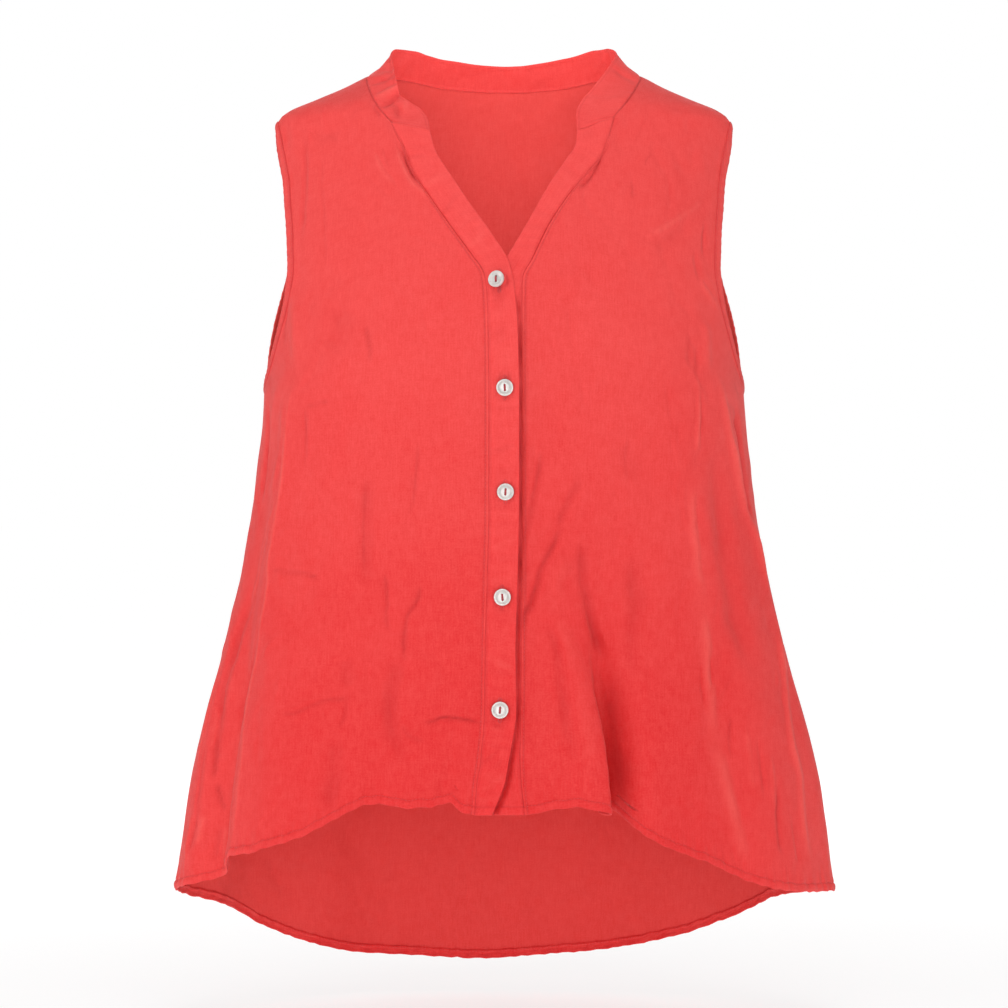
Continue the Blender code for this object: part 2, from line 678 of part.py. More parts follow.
sewn_piece("front_right", pull_in(right_points, ("start", "end", "high")), right_normals,
           wall_of(right_points, 2), cloth)
sewn_piece("front_left", pull_in(left_points, ("start", "end", "high")), left_normals,
           wall_of(left_points, 2), cloth)
sewn_piece("back", pull_in(back_points, ("start", "end", "high")), back_normals,
           wall_of(back_points, 2), cloth)
for name, strip, normals in (("front_band_right", upper_strip, upper_normals),
                             ("front_band_left", lower_strip, lower_normals)):
    sewn_piece(name, pull_in(strip, ("end", "high")), normals, np.full(strip.shape[:2], BAND_WALL), cloth)
sewn_piece("collar", pull_in(collar_points, ("start", "end", "low")), collar_normals,
           np.full(collar_points.shape[:2], COLLAR_WALL), cloth)
for name, sign in (("armhole_binding_right", -1), ("armhole_binding_left", 1)):
    ring = binding_grid(sign)
    ring_normals = face_out(ring, grid_normals(np.concatenate([ring[-1:], ring, ring[:1]]))[1:-1])
    sewn_piece(name, pull_in(ring, ("low",)), ring_normals, np.full(ring.shape[:2], BINDING_WALL), cloth,
               closed=True)
for number, (across, up, lean) in enumerate(BUTTONS, 1):
    button("button_%d" % number, across, up, lean, shell)

for piece in bpy.data.objects:
    mesh = piece.data
    mesh.update()
    work = bmesh.new()
    work.from_mesh(mesh)
    bmesh.ops.recalc_face_normals(work, faces=work.faces)
    work.to_mesh(mesh)
    work.free()
print("triangles", sum(len(p.vertices) - 2 for o in bpy.data.objects for p in o.data.polygons))
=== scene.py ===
import math
import random
import bmesh
import bpy
import numpy as np
from mathutils import Matrix, Vector


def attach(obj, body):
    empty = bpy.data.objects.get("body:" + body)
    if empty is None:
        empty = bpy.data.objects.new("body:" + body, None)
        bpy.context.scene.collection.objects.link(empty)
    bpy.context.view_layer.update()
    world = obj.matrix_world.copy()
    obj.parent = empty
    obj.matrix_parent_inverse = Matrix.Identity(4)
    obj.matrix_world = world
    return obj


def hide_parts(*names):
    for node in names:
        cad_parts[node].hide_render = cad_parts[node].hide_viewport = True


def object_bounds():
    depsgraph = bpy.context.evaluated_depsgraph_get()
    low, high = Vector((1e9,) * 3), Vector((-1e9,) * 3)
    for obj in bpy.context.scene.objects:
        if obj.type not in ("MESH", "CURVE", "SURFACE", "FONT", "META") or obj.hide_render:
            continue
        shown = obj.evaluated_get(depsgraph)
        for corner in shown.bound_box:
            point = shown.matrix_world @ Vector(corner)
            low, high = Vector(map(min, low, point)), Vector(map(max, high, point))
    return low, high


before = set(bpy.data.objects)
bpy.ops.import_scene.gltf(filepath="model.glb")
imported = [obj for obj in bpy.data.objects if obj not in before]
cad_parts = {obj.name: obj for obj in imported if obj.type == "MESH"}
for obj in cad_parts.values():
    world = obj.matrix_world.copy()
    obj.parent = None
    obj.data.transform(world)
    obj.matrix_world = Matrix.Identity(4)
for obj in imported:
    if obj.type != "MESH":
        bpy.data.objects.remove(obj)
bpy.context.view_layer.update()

mm = 0.001
print("frame loaded:", sorted(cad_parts))

# the photograph's view: level with the waist, three metres in front
view = {"distance": 3.0, "height": -0.37312, "frameWidth": 0.88704, "sensor": 36.0}
cameraData = bpy.data.cameras.new("camera")
cameraData.sensor_width = view["sensor"]
cameraData.lens = view["sensor"] * view["distance"] / view["frameWidth"]
cameraData.clip_end = 60
camera = bpy.data.objects.new("camera", cameraData)
camera.location = (0, -view["distance"], view["height"])
camera.rotation_euler = (math.pi / 2, 0, 0)
bpy.context.scene.collection.objects.link(camera)
bpy.context.scene.camera = camera


def hexColor(code):
    # sRGB hex to the linear colour that a shader takes
    parts = [int(code[k:k + 2], 16) / 255 for k in (1, 3, 5)]
    return tuple(p / 12.92 if p <= 0.04045 else ((p + 0.055) / 1.055) ** 2.4 for p in parts) + (1.0,)


def addNode(tree, kind, sockets=None, **settings):
    # one node with its settings, and on each socket a fixed value or the output that feeds it
    node = tree.nodes.new("ShaderNode" + kind)
    for name, value in settings.items():
        setattr(node, name, value)
    for name, value in (sockets or {}).items():
        if isinstance(value, bpy.types.NodeSocket):
            tree.links.new(value, node.inputs[name])
        else:
            node.inputs[name].default_value = value
    return node


def noise(tree, vector, scale, detail=2.0, roughness=0.5, distortion=0.0):
    return addNode(tree, "TexNoise", {"Vector": vector, "Scale": scale, "Detail": detail,
                                      "Roughness": roughness, "Distortion": distortion}).outputs["Fac"]


def mapped(tree, value, fromMin, fromMax, toMin=0.0, toMax=1.0, easing="LINEAR"):
    return addNode(tree, "MapRange", {"Value": value, "From Min": fromMin, "From Max": fromMax,
                                      "To Min": toMin, "To Max": toMax}, interpolation_type=easing).outputs[0]


def calculate(tree, operation, *values, clamp=False):
    return addNode(tree, "Math", dict(enumerate(values)), operation=operation, use_clamp=clamp).outputs[0]


def mixValue(tree, factor, a, b):
    return addNode(tree, "Mix", {"Factor": factor, "A": a, "B": b}, data_type="FLOAT").outputs[0]


def mixColor(tree, factor, a, b, blend="MIX"):
    return addNode(tree, "Mix", {"Factor": factor, "A": a, "B": b},
                   data_type="RGBA", blend_type=blend).outputs["Result"]


def bumped(tree, height, strength, distance):
    sockets = {"Height": height, "Strength": strength, "Distance": distance * mm}
    return addNode(tree, "Bump", sockets).outputs[0]


def newMaterial(name):
    made = bpy.data.materials.new(name)
    made.use_nodes = True
    made.node_tree.nodes.clear()
    return made, made.node_tree


clothLooks = {
    "yarnPitch": 0.85,        # mm between yarns, drawn coarser than the real 0.4 so that it shows
    "slubLength": 15.0,       # mm, how long a thick place in a yarn runs
    "slubWidth": 1.1,         # mm, width of one such streak
    "grain": 1.5,             # mm, size of the fine unevenness of the dye
    "blotch": 7.0,            # mm, size of the clouds left by washing
    "patch": 80.0,            # mm, size of the paler and deeper patches
    "sheenFrom": -640.0,       # mm up, where the painted sheen begins
    "sheenTo": -150.0,
    "sheenAside": (140.0, 270.0),            # mm from the middle, between which the painted sheen spreads over the sides too
    "base": "#ea3938",
    # the washed colour is painted sheen, drawn where light catches the chest, shoulders and sides
    "washed": "#f14e4b",
    "uneven": (0.100, 0.044, 0.040, 1.0),   # linear colour that the darkest yarns take away
    # pale colour of crease crests, partly rubbed wear and partly painted highlight; the inner face is also
    # drawn towards it
    "paleWearAndHighlight": "#ff7f74",
    # painted shade: the colour that furrows, seams, grooves and the rings round the buttons are darkened
    # towards
    "paintedFoldShade": "#b5191f",
    # painted shade in the gaps between the yarns
    "shadeBetweenYarns": "#b92a2c",
    "roughness": 0.62,
    "sheen": 0.11,
    "weaveHeight": 0.16,      # mm
    "seeThrough": 0.16,
}


def wovenCloth(name, looks, grainTurn=0.0):
    # garment-washed linen and viscose, plain woven and piece dyed: a soft, streaky and clouded coral with a
    # faint bloom at grazing angles; painted sheen makes the chest, shoulders and sides paler, crease crests
    # are drawn paler (partly rubbed wear, partly painted highlight), and furrows, seams and grooves darker as
    # painted shade
    made, tree = newMaterial(name)
    perMetre = 1.0 / mm
    uv = addNode(tree, "UVMap", uv_map="cloth").outputs[0]
    turned = addNode(tree, "Mapping", {"Rotation": (0, 0, grainTurn), "Vector": uv}).outputs[0]
    place = addNode(tree, "TexCoord").outputs["Object"]
    yarns, slubs = [], []
    for along, axis in enumerate("XY"):
        # a band texture repeats every pi / 10 of its input, so pitch sets the scale
        pitch = perMetre * math.pi / 10 / looks["yarnPitch"]
        yarns.append(addNode(
            tree, "TexWave",
            {"Vector": turned, "Scale": pitch, "Distortion": 2.2, "Detail": 1.0, "Detail Scale": 0.25},
            wave_type="BANDS", bands_direction=axis, wave_profile="SIN").outputs["Fac"])
        size = [perMetre / looks["slubWidth"], perMetre / looks["slubWidth"], 1.0]
        size[along] = perMetre / looks["slubLength"]
        stretched = addNode(tree, "Mapping", {"Scale": size, "Vector": turned}).outputs[0]
        slubs.append(noise(tree, stretched, 1.0, 2.0, 0.6))
    weave = calculate(tree, "MULTIPLY", yarns[0], yarns[1])
    streaks = mixValue(tree, 0.30, slubs[1], slubs[0])
    grain = noise(tree, turned, perMetre / looks["grain"], 3.0, 0.7)
    blotch = noise(tree, place, perMetre / looks["blotch"], 3.0, 0.6)
    cloud = noise(tree, place, perMetre / looks["patch"], 3.0, 0.55)
    # painted sheen: the chest, shoulders and sides are drawn a little paler than the skirt, where the light
    # catches them
    spot = addNode(tree, "SeparateXYZ", {0: place})
    aside = calculate(tree, "ABSOLUTE", spot.outputs["X"])
    sideFrom, sideTo = looks["sheenAside"]
    high = mapped(tree, spot.outputs["Z"], looks["sheenFrom"] * mm, looks["sheenTo"] * mm, easing="SMOOTHSTEP")
    sides = mapped(tree, aside, sideFrom * mm, sideTo * mm, 0.0, 0.55, "SMOOTHSTEP")
    paintedSheenAmount = calculate(tree, "MULTIPLY_ADD", cloud, 0.9, calculate(tree, "MAXIMUM", high, sides))
    washed = calculate(tree, "SUBTRACT", paintedSheenAmount, 0.45, clamp=True)
    tone = mixColor(tree, washed, hexColor(looks["base"]), hexColor(looks["washed"]))
    uneven = mixValue(tree, 0.24, mixValue(tree, 0.5, streaks, grain), blotch)
    streaked = mixColor(tree, mapped(tree, uneven, 0.40, 0.62, 0.0, 0.72), tone, looks["uneven"], "SUBTRACT")
    # painted shade in the gaps between the yarns
    gapShade = mapped(tree, weave, 0.0, 0.5, 0.16, 0.0)
    woven = mixColor(tree, gapShade, streaked, hexColor(looks["shadeBetweenYarns"]))
    # per-point painted light: above zero paler (partly rubbed wear, partly painted highlight), below zero
    # darker (painted shade)
    wearAndPaintedLight = addNode(tree, "Attribute", attribute_name="wearAndPaintedLight").outputs["Fac"]
    wornAndPaintedLight = mixColor(tree, mapped(tree, wearAndPaintedLight, 0.0, 1.0, 0.0, 0.46), woven, hexColor(looks["paleWearAndHighlight"]))
    shadedColour = mixColor(tree, mapped(tree, wearAndPaintedLight, 0.0, -1.0, 0.0, 0.82), wornAndPaintedLight, hexColor(looks["paintedFoldShade"]))
    relief = calculate(tree, "MULTIPLY_ADD", uneven, 2.6, weave)
    bump = bumped(tree, relief, 0.8, looks["weaveHeight"])
    rough = mapped(tree, uneven, 0.3, 0.7, looks["roughness"] - 0.08, looks["roughness"] + 0.10)
    shader = addNode(tree, "BsdfPrincipled", {
        "Base Color": shadedColour, "Roughness": rough, "Normal": bump, "IOR": 1.5, "Specular IOR Level": 0.32,
        "Sheen Weight": looks["sheen"], "Sheen Roughness": 0.5, "Sheen Tint": hexColor("#ffe2dc")})
    # light from behind glows a little through the thin cloth
    glow = addNode(tree, "BsdfTranslucent", {"Color": shadedColour, "Normal": bump})
    thin = addNode(tree, "MixShader", {0: looks["seeThrough"], 1: shader.outputs[0], 2: glow.outputs[0]})
    addNode(tree, "OutputMaterial", {"Surface": thin.outputs[0]})
    return made


def spunThread(name, color):
    # spun polyester sewing thread, a shade deeper than the cloth, with its twist showing as fine ribs
    made, tree = newMaterial(name)
    place = addNode(tree, "TexCoord").outputs["Object"]
    twist = noise(tree, place, 2600.0, 1.0)
    shade = mixColor(tree, twist, hexColor(color), hexColor("#c22f33"))
    shader = addNode(tree, "BsdfPrincipled", {
        "Base Color": shade, "Roughness": 0.55, "Sheen Weight": 0.2, "IOR": 1.5,
        "Normal": bumped(tree, twist, 0.4, 0.05)})
    addNode(tree, "OutputMaterial", {"Surface": shader.outputs[0]})
    return made


def motherOfPearl(name):
    # shell blank, turned and polished: cool grey-white with cloudy growth layers and a faint pink-green play
    made, tree = newMaterial(name)
    place = addNode(tree, "TexCoord").outputs["Object"]
    cloud = noise(tree, place, 110.0, distortion=1.2)
    layers = addNode(tree, "TexWave", {"Vector": place, "Scale": 120.0, "Distortion": 6.0, "Detail": 2.0,
                                       "Detail Scale": 1.5}, bands_direction="DIAGONAL").outputs["Fac"]
    play = addNode(tree, "ValToRGB", {"Fac": layers})
    play.color_ramp.elements[0].color = hexColor("#f3dfe0")
    play.color_ramp.elements[1].color = hexColor("#dfe8e4")
    body = mixColor(tree, cloud, hexColor("#d2cbc5"), hexColor("#655e59"))
    nacre = mixColor(tree, 0.22, body, play.outputs["Color"])
    shader = addNode(tree, "BsdfPrincipled", {
        "Base Color": nacre, "Roughness": mapped(tree, cloud, 0.0, 1.0, 0.16, 0.34),
        "Normal": bumped(tree, layers, 0.15, 0.05), "IOR": 1.6, "Coat Weight": 0.4, "Coat Roughness": 0.12})
    addNode(tree, "OutputMaterial", {"Surface": shader.outputs[0]})
    return made


panelCloth = wovenCloth("washed linen viscose, panels", clothLooks)
bandCloth = wovenCloth("washed linen viscose, faced bands",
                       dict(clothLooks, weaveHeight=0.13, seeThrough=0.12))
biasCloth = wovenCloth("washed linen viscose, bias cut", clothLooks, math.radians(45))
seamThread = spunThread("spun polyester thread", "#e24641")
buttonThread = spunThread("button thread", "#5e1020")
buttonholeThread = spunThread("buttonhole thread", "#d53437")
pearlShell = motherOfPearl("mother of pearl")
print("materials made")

# the form of the filled-out shirt, in mm
body = {
    # level sections, low to high: height, half width, depth in front, depth behind, roundness of each
    "sections": [
        (-800, 297, 174, 166, 2.10, 2.10), (-711, 289, 169, 155, 2.10, 2.10),
        (-660, 282, 166, 149, 2.12, 2.12), (-625, 277, 164, 145, 2.14, 2.15),
        (-590, 270, 161, 141.5, 2.17, 2.17), (-554, 261, 158, 138, 2.20, 2.20),
        (-520, 251.3, 155, 135, 2.22, 2.22), (-484, 242, 153, 132.5, 2.24, 2.25),
        (-448, 233.6, 151.5, 130.5, 2.26, 2.28), (-413, 227, 150.5, 129, 2.28, 2.30),
        (-380, 221, 150, 128, 2.30, 2.32), (-343, 216, 150, 128, 2.33, 2.35),
        (-300, 211.5, 151, 129, 2.35, 2.38), (-245, 208.5, 150, 131, 2.35, 2.40),
        (-200, 206.5, 143, 131, 2.28, 2.35), (-160, 205, 132, 130, 2.15, 2.30),
        (-120, 203.6, 117, 126, 1.98, 2.20), (-80, 201.8, 99, 118, 1.80, 2.10),
        (-44, 200.5, 82, 106, 1.66, 2.02), (-36, 198.5, 77, 102, 1.65, 2.00),
        (-28, 189, 72, 98, 1.66, 2.00), (-18, 165, 66, 92, 1.68, 2.00), (-8, 140, 60, 85, 1.72, 2.00),
        (3, 119, 52, 77, 1.80, 2.00), (12, 100, 42, 70, 1.90, 2.00),
    ],
    "overlapRise": 2.8,
    "shoulderRows": 7,        # top sections that the shoulder line follows
}

# hanging folds: height, turn around the body, half spread, depth out or in, drag to the wearer's left
hangingFolds = {
    "rightRidge": [(-680, -53, 4.5, 8.0, 13), (-600, -54.5, 4.5, 7.0, 12), (-510, -59, 4.5, 5.0, 8),
                   (-420, -61.4, 4.5, 4.0, 2), (-330, -61, 4.5, 2.5, 0), (-250, -56, 4.5, 0.0, 0)],
    "rightPleat": [(-800, -65.0, 5.6, -14, 9), (-700, -65.0, 5.6, -14, 9), (-620, -65.6, 5.6, -13, 8),
                   (-540, -67, 5.8, -10, 5), (-450, -70, 6, -6, 0), (-360, -70, 6, -2, 0),
                   (-300, -70, 6, 0, 0)],
    "rightFrontDip": [(-680, -22.8, 5, -7, 0), (-600, -23, 5, -5.5, 0), (-500, -24.5, 5, -3, 0),
                      (-400, -25, 5, 0, 0)],
    "besideBandDip": [(-680, -9.3, 3, -3, 0), (-600, -9.3, 3, -2.5, 0), (-520, -9.5, 3, 0, 0)],
    "leftFlare": [(-700, 19.2, 3.3, -37, 0), (-620, 19.3, 3.3, -34, 0), (-560, 19.3, 3.6, -23, 0),
                  (-500, 18.6, 4.0, -11, 0), (-440, 20.5, 4.2, -3, 0), (-380, 22, 4.2, 0, 0)],
    "leftFlareEdge": [(-700, 13.8, 2.0, 5.0, 22), (-620, 14.0, 2.0, 5.0, 21), (-560, 14.4, 2.1, 4.0, 15),
                      (-510, 14.6, 2.4, 2.0, 7), (-455, 15.5, 2.6, 0, 0)],
    "leftLobe": [(-700, 26.5, 6, 5, 0), (-560, 27, 6, 3.5, 0), (-440, 28, 6, 0, 0)],
    "leftRidge": [(-700, 77, 5, 4.5, 0), (-569, 78, 5, 4, 0), (-457, 77, 5, 3.5, 0), (-344, 68.8, 5, 2.5, 0),
                  (-260, 61, 5, 0, 0)],
    "leftSideDip": [(-700, 44, 6, -7, 0), (-540, 46, 6, -4, 0), (-420, 47, 6, 0, 0)],
    "backDipRight": [(-800, -116, 7, -12, 0), (-520, -114, 7, -6, 0), (-330, -112, 7, 0, 0)],
    "backDipMidRight": [(-800, -146, 7, -11, 0), (-500, -143, 7, -5, 0), (-260, -141, 7, 0, 0)],
    "backDipMidLeft": [(-800, 149, 8, -12, 0), (-520, 151, 8, -6, 0), (-290, 153, 8, 0, 0)],
    "backDipLeft": [(-800, 116, 7, -10, 0), (-560, 118, 7, -6, 0), (-350, 119, 7, 0, 0)],
}
foldLean = {"leftFlareEdge": 2.8}     # how much wider a fold is on its right front side than on the other
sections = np.array(body["sections"], float)


def smoothLine(xs, ys, at):
    # curve through the points that never overshoots them
    xs, ys, at = np.asarray(xs, float), np.asarray(ys, float), np.asarray(at, float)
    step = np.diff(xs)
    rise = np.diff(ys) / step
    slope = np.zeros_like(ys)
    weightA = 2 * step[1:] + step[:-1]
    weightB = step[1:] + 2 * step[:-1]
    same = rise[:-1] * rise[1:] > 0
    low = np.where(same, rise[:-1], 1.0)
    high = np.where(same, rise[1:], 1.0)
    slope[1:-1] = np.where(same, (weightA + weightB) / (weightA / low + weightB / high), 0.0)
    slope[0], slope[-1] = rise[0], rise[-1]
    k = np.clip(np.searchsorted(xs, at) - 1, 0, len(xs) - 2)
    t = np.clip((at - xs[k]) / step[k], 0.0, 1.0)
    return ((2 * t**3 - 3 * t**2 + 1) * ys[k] + (t**3 - 2 * t**2 + t) * step[k] * slope[k]
            + (-2 * t**3 + 3 * t**2) * ys[k + 1] + (t**3 - t**2) * step[k] * slope[k + 1])


def ramp(value):
    t = np.clip(value, 0.0, 1.0)
    return t * t * (3 - 2 * t)


def bell(distance, width):
    return np.exp(-((distance / width) ** 2))


def ditch(distance, width, depth):
    return -depth * bell(distance, width)


def unit(vectors):
    return vectors / np.maximum(np.linalg.norm(vectors, axis=-1), 1e-9)[..., None]


def sectionAt(z):
    return [smoothLine(sections[:, 0], sections[:, column], z) for column in range(1, 6)]


def bodyPoint(degrees, z, rise=0.0, folds=True):
    # point of the cloth at a turn around the body and a height
    degrees, z = np.broadcast_arrays(np.asarray(degrees, float), np.asarray(z, float))
    half, front, back, frontPower, backPower = sectionAt(z)
    turn = np.radians(degrees)
    across = np.abs(np.sin(turn))
    ahead = np.abs(degrees) <= 90
    depth = np.where(ahead, front, back)
    power = np.where(ahead, frontPower, backPower)
    x = half * np.sin(turn)
    y = np.where(ahead, -1.0, 1.0) * depth * np.maximum(1 - across**power, 0.0) ** (1 / power)
    outX, outY = x / half**2, y / depth**2
    size = np.hypot(outX, outY)
    outX, outY = outX / size, outY / size
    for name, rows in hangingFolds.items() if folds else ():
        rows = np.array(rows, float)
        middle, spread, deep, drag = [smoothLine(rows[:, 0], rows[:, k], z) for k in (1, 2, 3, 4)]
        away = (degrees - middle + 180) % 360 - 180
        spread = np.where(away < 0, spread * foldLean.get(name, 1.0), spread)
        share = bell(away, spread)
        x = x + share * (deep * outX + drag)
        y = y + share * deep * outY
    lift = rise * ramp((x + 80) / 55) * ramp((-105 - z) / 45)
    return np.stack([x, y - lift, z], axis=-1)


def turnOf(x, z):
    return np.degrees(np.arcsin(np.clip(np.asarray(x) / sectionAt(z)[0], -1, 1)))


def seenTurn(x, z):
    # turn of the folded cloth that is seen at this distance across, from the front
    turned = turnOf(x, z)
    for _ in range(14):
        shift = bodyPoint(turned, z)[..., 0] - bodyPoint(turned, z, folds=False)[..., 0]
        turned = 0.5 * turned + 0.5 * turnOf(x - shift, z)
    return turned


def sideTurn(y, z):
    # turn around the body, 0 to 180 degrees, of a point near the side from its depth and height
    front, back, frontPower, backPower = sectionAt(z)[1:]
    ahead = y <= 0
    depth = np.where(ahead, front, back)
    power = np.where(ahead, frontPower, backPower)
    share = (1 - np.clip(np.abs(y) / depth, 0, 1) ** power) ** (1 / power)
    degrees = np.degrees(np.arcsin(np.clip(share, 0, 1)))
    return np.where(ahead, degrees, 180 - degrees)


arcHeights = np.linspace(-860, 12, 219)
arcTurns = np.linspace(0, 180, 361)


def arcTable():
    # girth along each level from the middle of the front, so that cloth can be measured flat
    ring = bodyPoint(arcTurns[None, :], arcHeights[:, None], folds=False)
    steps = np.linalg.norm(np.diff(ring[..., :2], axis=1), axis=2)
    return np.concatenate([np.zeros((len(arcHeights), 1)), np.cumsum(steps, axis=1)], axis=1)


girths = arcTable()


def girthTo(degrees, z):
    turns = np.clip(np.abs(degrees), 0, 180) / 180 * (len(arcTurns) - 1)
    level = np.clip((z - arcHeights[0]) / (arcHeights[1] - arcHeights[0]), 0, len(arcHeights) - 1.001)
    i, j = level.astype(int), np.minimum(turns.astype(int), len(arcTurns) - 2)
    a, b = level - i, turns - j
    return ((girths[i, j] * (1 - a) + girths[i + 1, j] * a) * (1 - b)
            + (girths[i, j + 1] * (1 - a) + girths[i + 1, j + 1] * a) * b)


def evenTurn(degrees, z, behind):
    # turn from the middle of a panel stretched so that equal steps are equal lengths of cloth
    quarter = girthTo(np.full_like(z, 90.0), z)
    reach = girthTo(degrees, z)
    if behind:
        whole = girthTo(np.full_like(z, 180.0), z)
        reach = whole - girthTo(180 - np.abs(degrees), z)
        quarter = whole - quarter
    return np.sign(degrees) * 90 * reach / quarter


def turnFromEven(even, z, behind):
    low, high = np.full_like(even, -90.0), np.full_like(even, 90.0)
    for _ in range(22):
        middle = (low + high) / 2
        over = evenTurn(middle, z, behind) > even
        low, high = np.where(over, low, middle), np.where(over, middle, high)
    return (low + high) / 2


def flatAcross(degrees, z, behind):
    # cloth measured flat, from the middle of the front or of the back to the wearer's left
    reach = girthTo(degrees, z)
    if behind:
        reach = girthTo(np.full_like(reach, 180.0), z) - reach
    return np.sign(degrees) * reach


# the cut: seams, edges and hems, in mm
cut = {
    "armholeWidth": 6.5,
    "underarmMark": 14,             # row of armholeEdge at the underarm
    "underarmWay": 0.60,            # way up a panel from its hem, 0 to 1, where the underarm comes
    "shoulderWay": 0.93,
    "lowerFade": 0.55,              # ways at which the hem's and the neck's shapes have faded out
    "upperFade": 0.62,
    "hemAllowance": 8.0,
    "hemWave": (0.75, 15.0),        # height and pitch of the unevenness of a cut edge
    "collarShoulderShare": 0.28,    # part of the collar's length in front of a shoulder seam
}

# front bands, low to high: way up the front, sewn edge across and up, free edge across and up
upperBandCut = np.array([
    (0.000, -24.0, -632, -10.0, -632), (0.060, -22.0, -607, 0.8, -605), (0.120, -18.5, -584, 3.8, -588),
    (0.200, -15.5, -545, 10.0, -545), (0.300, -15.0, -497, 9.5, -497), (0.400, -13.5, -440, 11.2, -440),
    (0.500, -12.0, -372, 12.6, -372), (0.600, -12.0, -284, 12.6, -284), (0.635, -12.6, -230, 11.2, -222),
    (0.668, -13.4, -200, 8.2, -188), (0.705, -16.0, -180, 3.2, -168), (0.755, -26.0, -164, -6.0, -152),
    (0.825, -43.5, -140, -23.0, -127), (0.885, -61.0, -115, -39.0, -103), (0.930, -76.0, -91, -50.5, -85),
    (0.965, -86.0, -66.5, -59.0, -70), (1.000, -96.3, -45, -63.5, -53),
])
lowerBandCut = np.array([
    (0.000, 16.0, -632, -9.0, -632), (0.060, 13.4, -607, -11.0, -607), (0.120, 12.3, -584, -12.5, -584),
    (0.200, 12.8, -545, -12.8, -545), (0.300, 13.4, -497, -12.8, -497), (0.400, 14.2, -440, -12.4, -440),
    (0.500, 14.4, -372, -12.2, -372), (0.600, 14.4, -284, -12.2, -284), (0.635, 14.4, -230, -12.4, -226),
    (0.668, 14.4, -201, -10.8, -195), (0.705, 15.2, -183, -6.0, -179), (0.755, 22.5, -168, 1.5, -167),
    (0.825, 37.0, -138, 20.5, -134), (0.885, 54.5, -111, 40.0, -99), (0.930, 70.5, -91, 53.0, -79),
    (0.965, 83.5, -74, 61.0, -66), (1.000, 94.0, -40, 62.5, -53.6),
])

# neck seams: share of the way, across, up
frontNeckRight = np.array([(0.00, -96.3, -45), (0.25, -105.0, -35), (0.50, -112.6, -23.2),
                           (0.75, -118.3, -9.5), (0.90, -120.3, -0.8), (1.00, -119.0, 3.0)])
frontNeckLeft = np.array([(0.00, 94.0, -40), (0.25, 102.5, -30), (0.50, 110.0, -19.5), (0.75, 116.6, -7.6),
                          (0.90, 119.6, -0.5), (1.00, 119.0, 3.0)])
backNeck = np.array([(0.00, -119.0, 3.0), (0.07, -111.5, 5.8), (0.15, -98.0, 6.6), (0.25, -79.0, 5.0),
                     (0.37, -48.0, 0.6), (0.50, 0.0, -1.2), (0.63, 48.0, 0.6), (0.75, 79.0, 5.0),
                     (0.85, 98.0, 6.6), (0.93, 111.5, 5.8), (1.00, 119.0, 3.0)])

# upper edge of the collar from the right front end round behind: share, across, depth, up
collarTop = np.array([
    (0.000, -63.5, -79, -53), (0.050, -65.5, -67, -42.5), (0.090, -71.0, -58, -34),
    (0.125, -82.0, -51, -26.5), (0.160, -90.0, -44, -18.0), (0.215, -94.5, -29, -1.5),
    (0.260, -97.5, -13, 11.5), (0.300, -99.5, 1, 21.5), (0.340, -94.0, 17, 29.0),
    (0.385, -80.0, 36, 30.4), (0.430, -54.0, 52, 24.5), (0.500, 0.0, 64, 19.7), (0.570, 54.0, 52, 25.0),
    (0.615, 80.0, 33, 30.4), (0.660, 92.5, 15, 30.0), (0.700, 98.2, -2, 22.5), (0.740, 94.5, -15, 13.8),
    (0.785, 86.5, -30, 1.0), (0.840, 76.5, -44, -13.0), (0.900, 67.4, -56, -24.5),
    (0.950, 62.0, -67, -37.5), (1.000, 62.5, -79.6, -53.6),
])

# armhole edge seen from the side, from the shoulder down the front and up behind: depth, up
armholeEdge = np.array([
    (0, -44), (-11, -61), (-22, -81), (-32, -100), (-41, -119), (-50, -137), (-58, -156), (-65, -175),
    (-67, -194), (-65, -213), (-59, -231), (-50, -246), (-37, -258), (-19, -266), (0, -269), (11, -256),
    (21, -234), (33, -211), (44, -190), (52, -170), (54, -150), (51, -130), (45, -112), (37, -95),
    (26, -78), (12, -59),
], float)

# lower edges: turn around the body, height
hemRight = np.array([
    (5, -632), (7.5, -629), (9.5, -622), (13, -626), (18, -627), (22, -624), (25, -625), (28, -631),
    (32.5, -642), (38, -654), (44, -662), (50.5, -668), (54, -670), (57.5, -673), (61, -684), (65, -692.5),
    (72, -701), (80, -707), (90, -711)], float)
hemLeft = np.array([
    (3.9, -632), (7, -628), (10, -625.5), (13, -630), (16.5, -633), (19, -629), (21, -632), (23.5, -645),
    (27.7, -658), (31.5, -665), (38.7, -677), (45.5, -690), (53.5, -700), (61.5, -705), (75, -708),
    (90, -711)], float)
hemBack = np.array([
    (-90, -712), (-80, -719), (-72, -725), (-63.5, -732.5), (-56.7, -741), (-50.7, -753), (-45.5, -762.5),
    (-40.6, -771), (-36, -777), (-31.8, -782), (-27.7, -786), (-21.8, -789), (-12.5, -792.5), (-3.4, -795),
    (4, -792), (9.2, -790), (16.6, -786.5), (24.2, -779.5), (32.3, -770.5), (36.6, -765), (41.2, -757),
    (46.1, -749), (51.5, -739), (57.6, -729), (64.6, -723.5), (73.5, -719), (84, -713), (90, -711)], float)

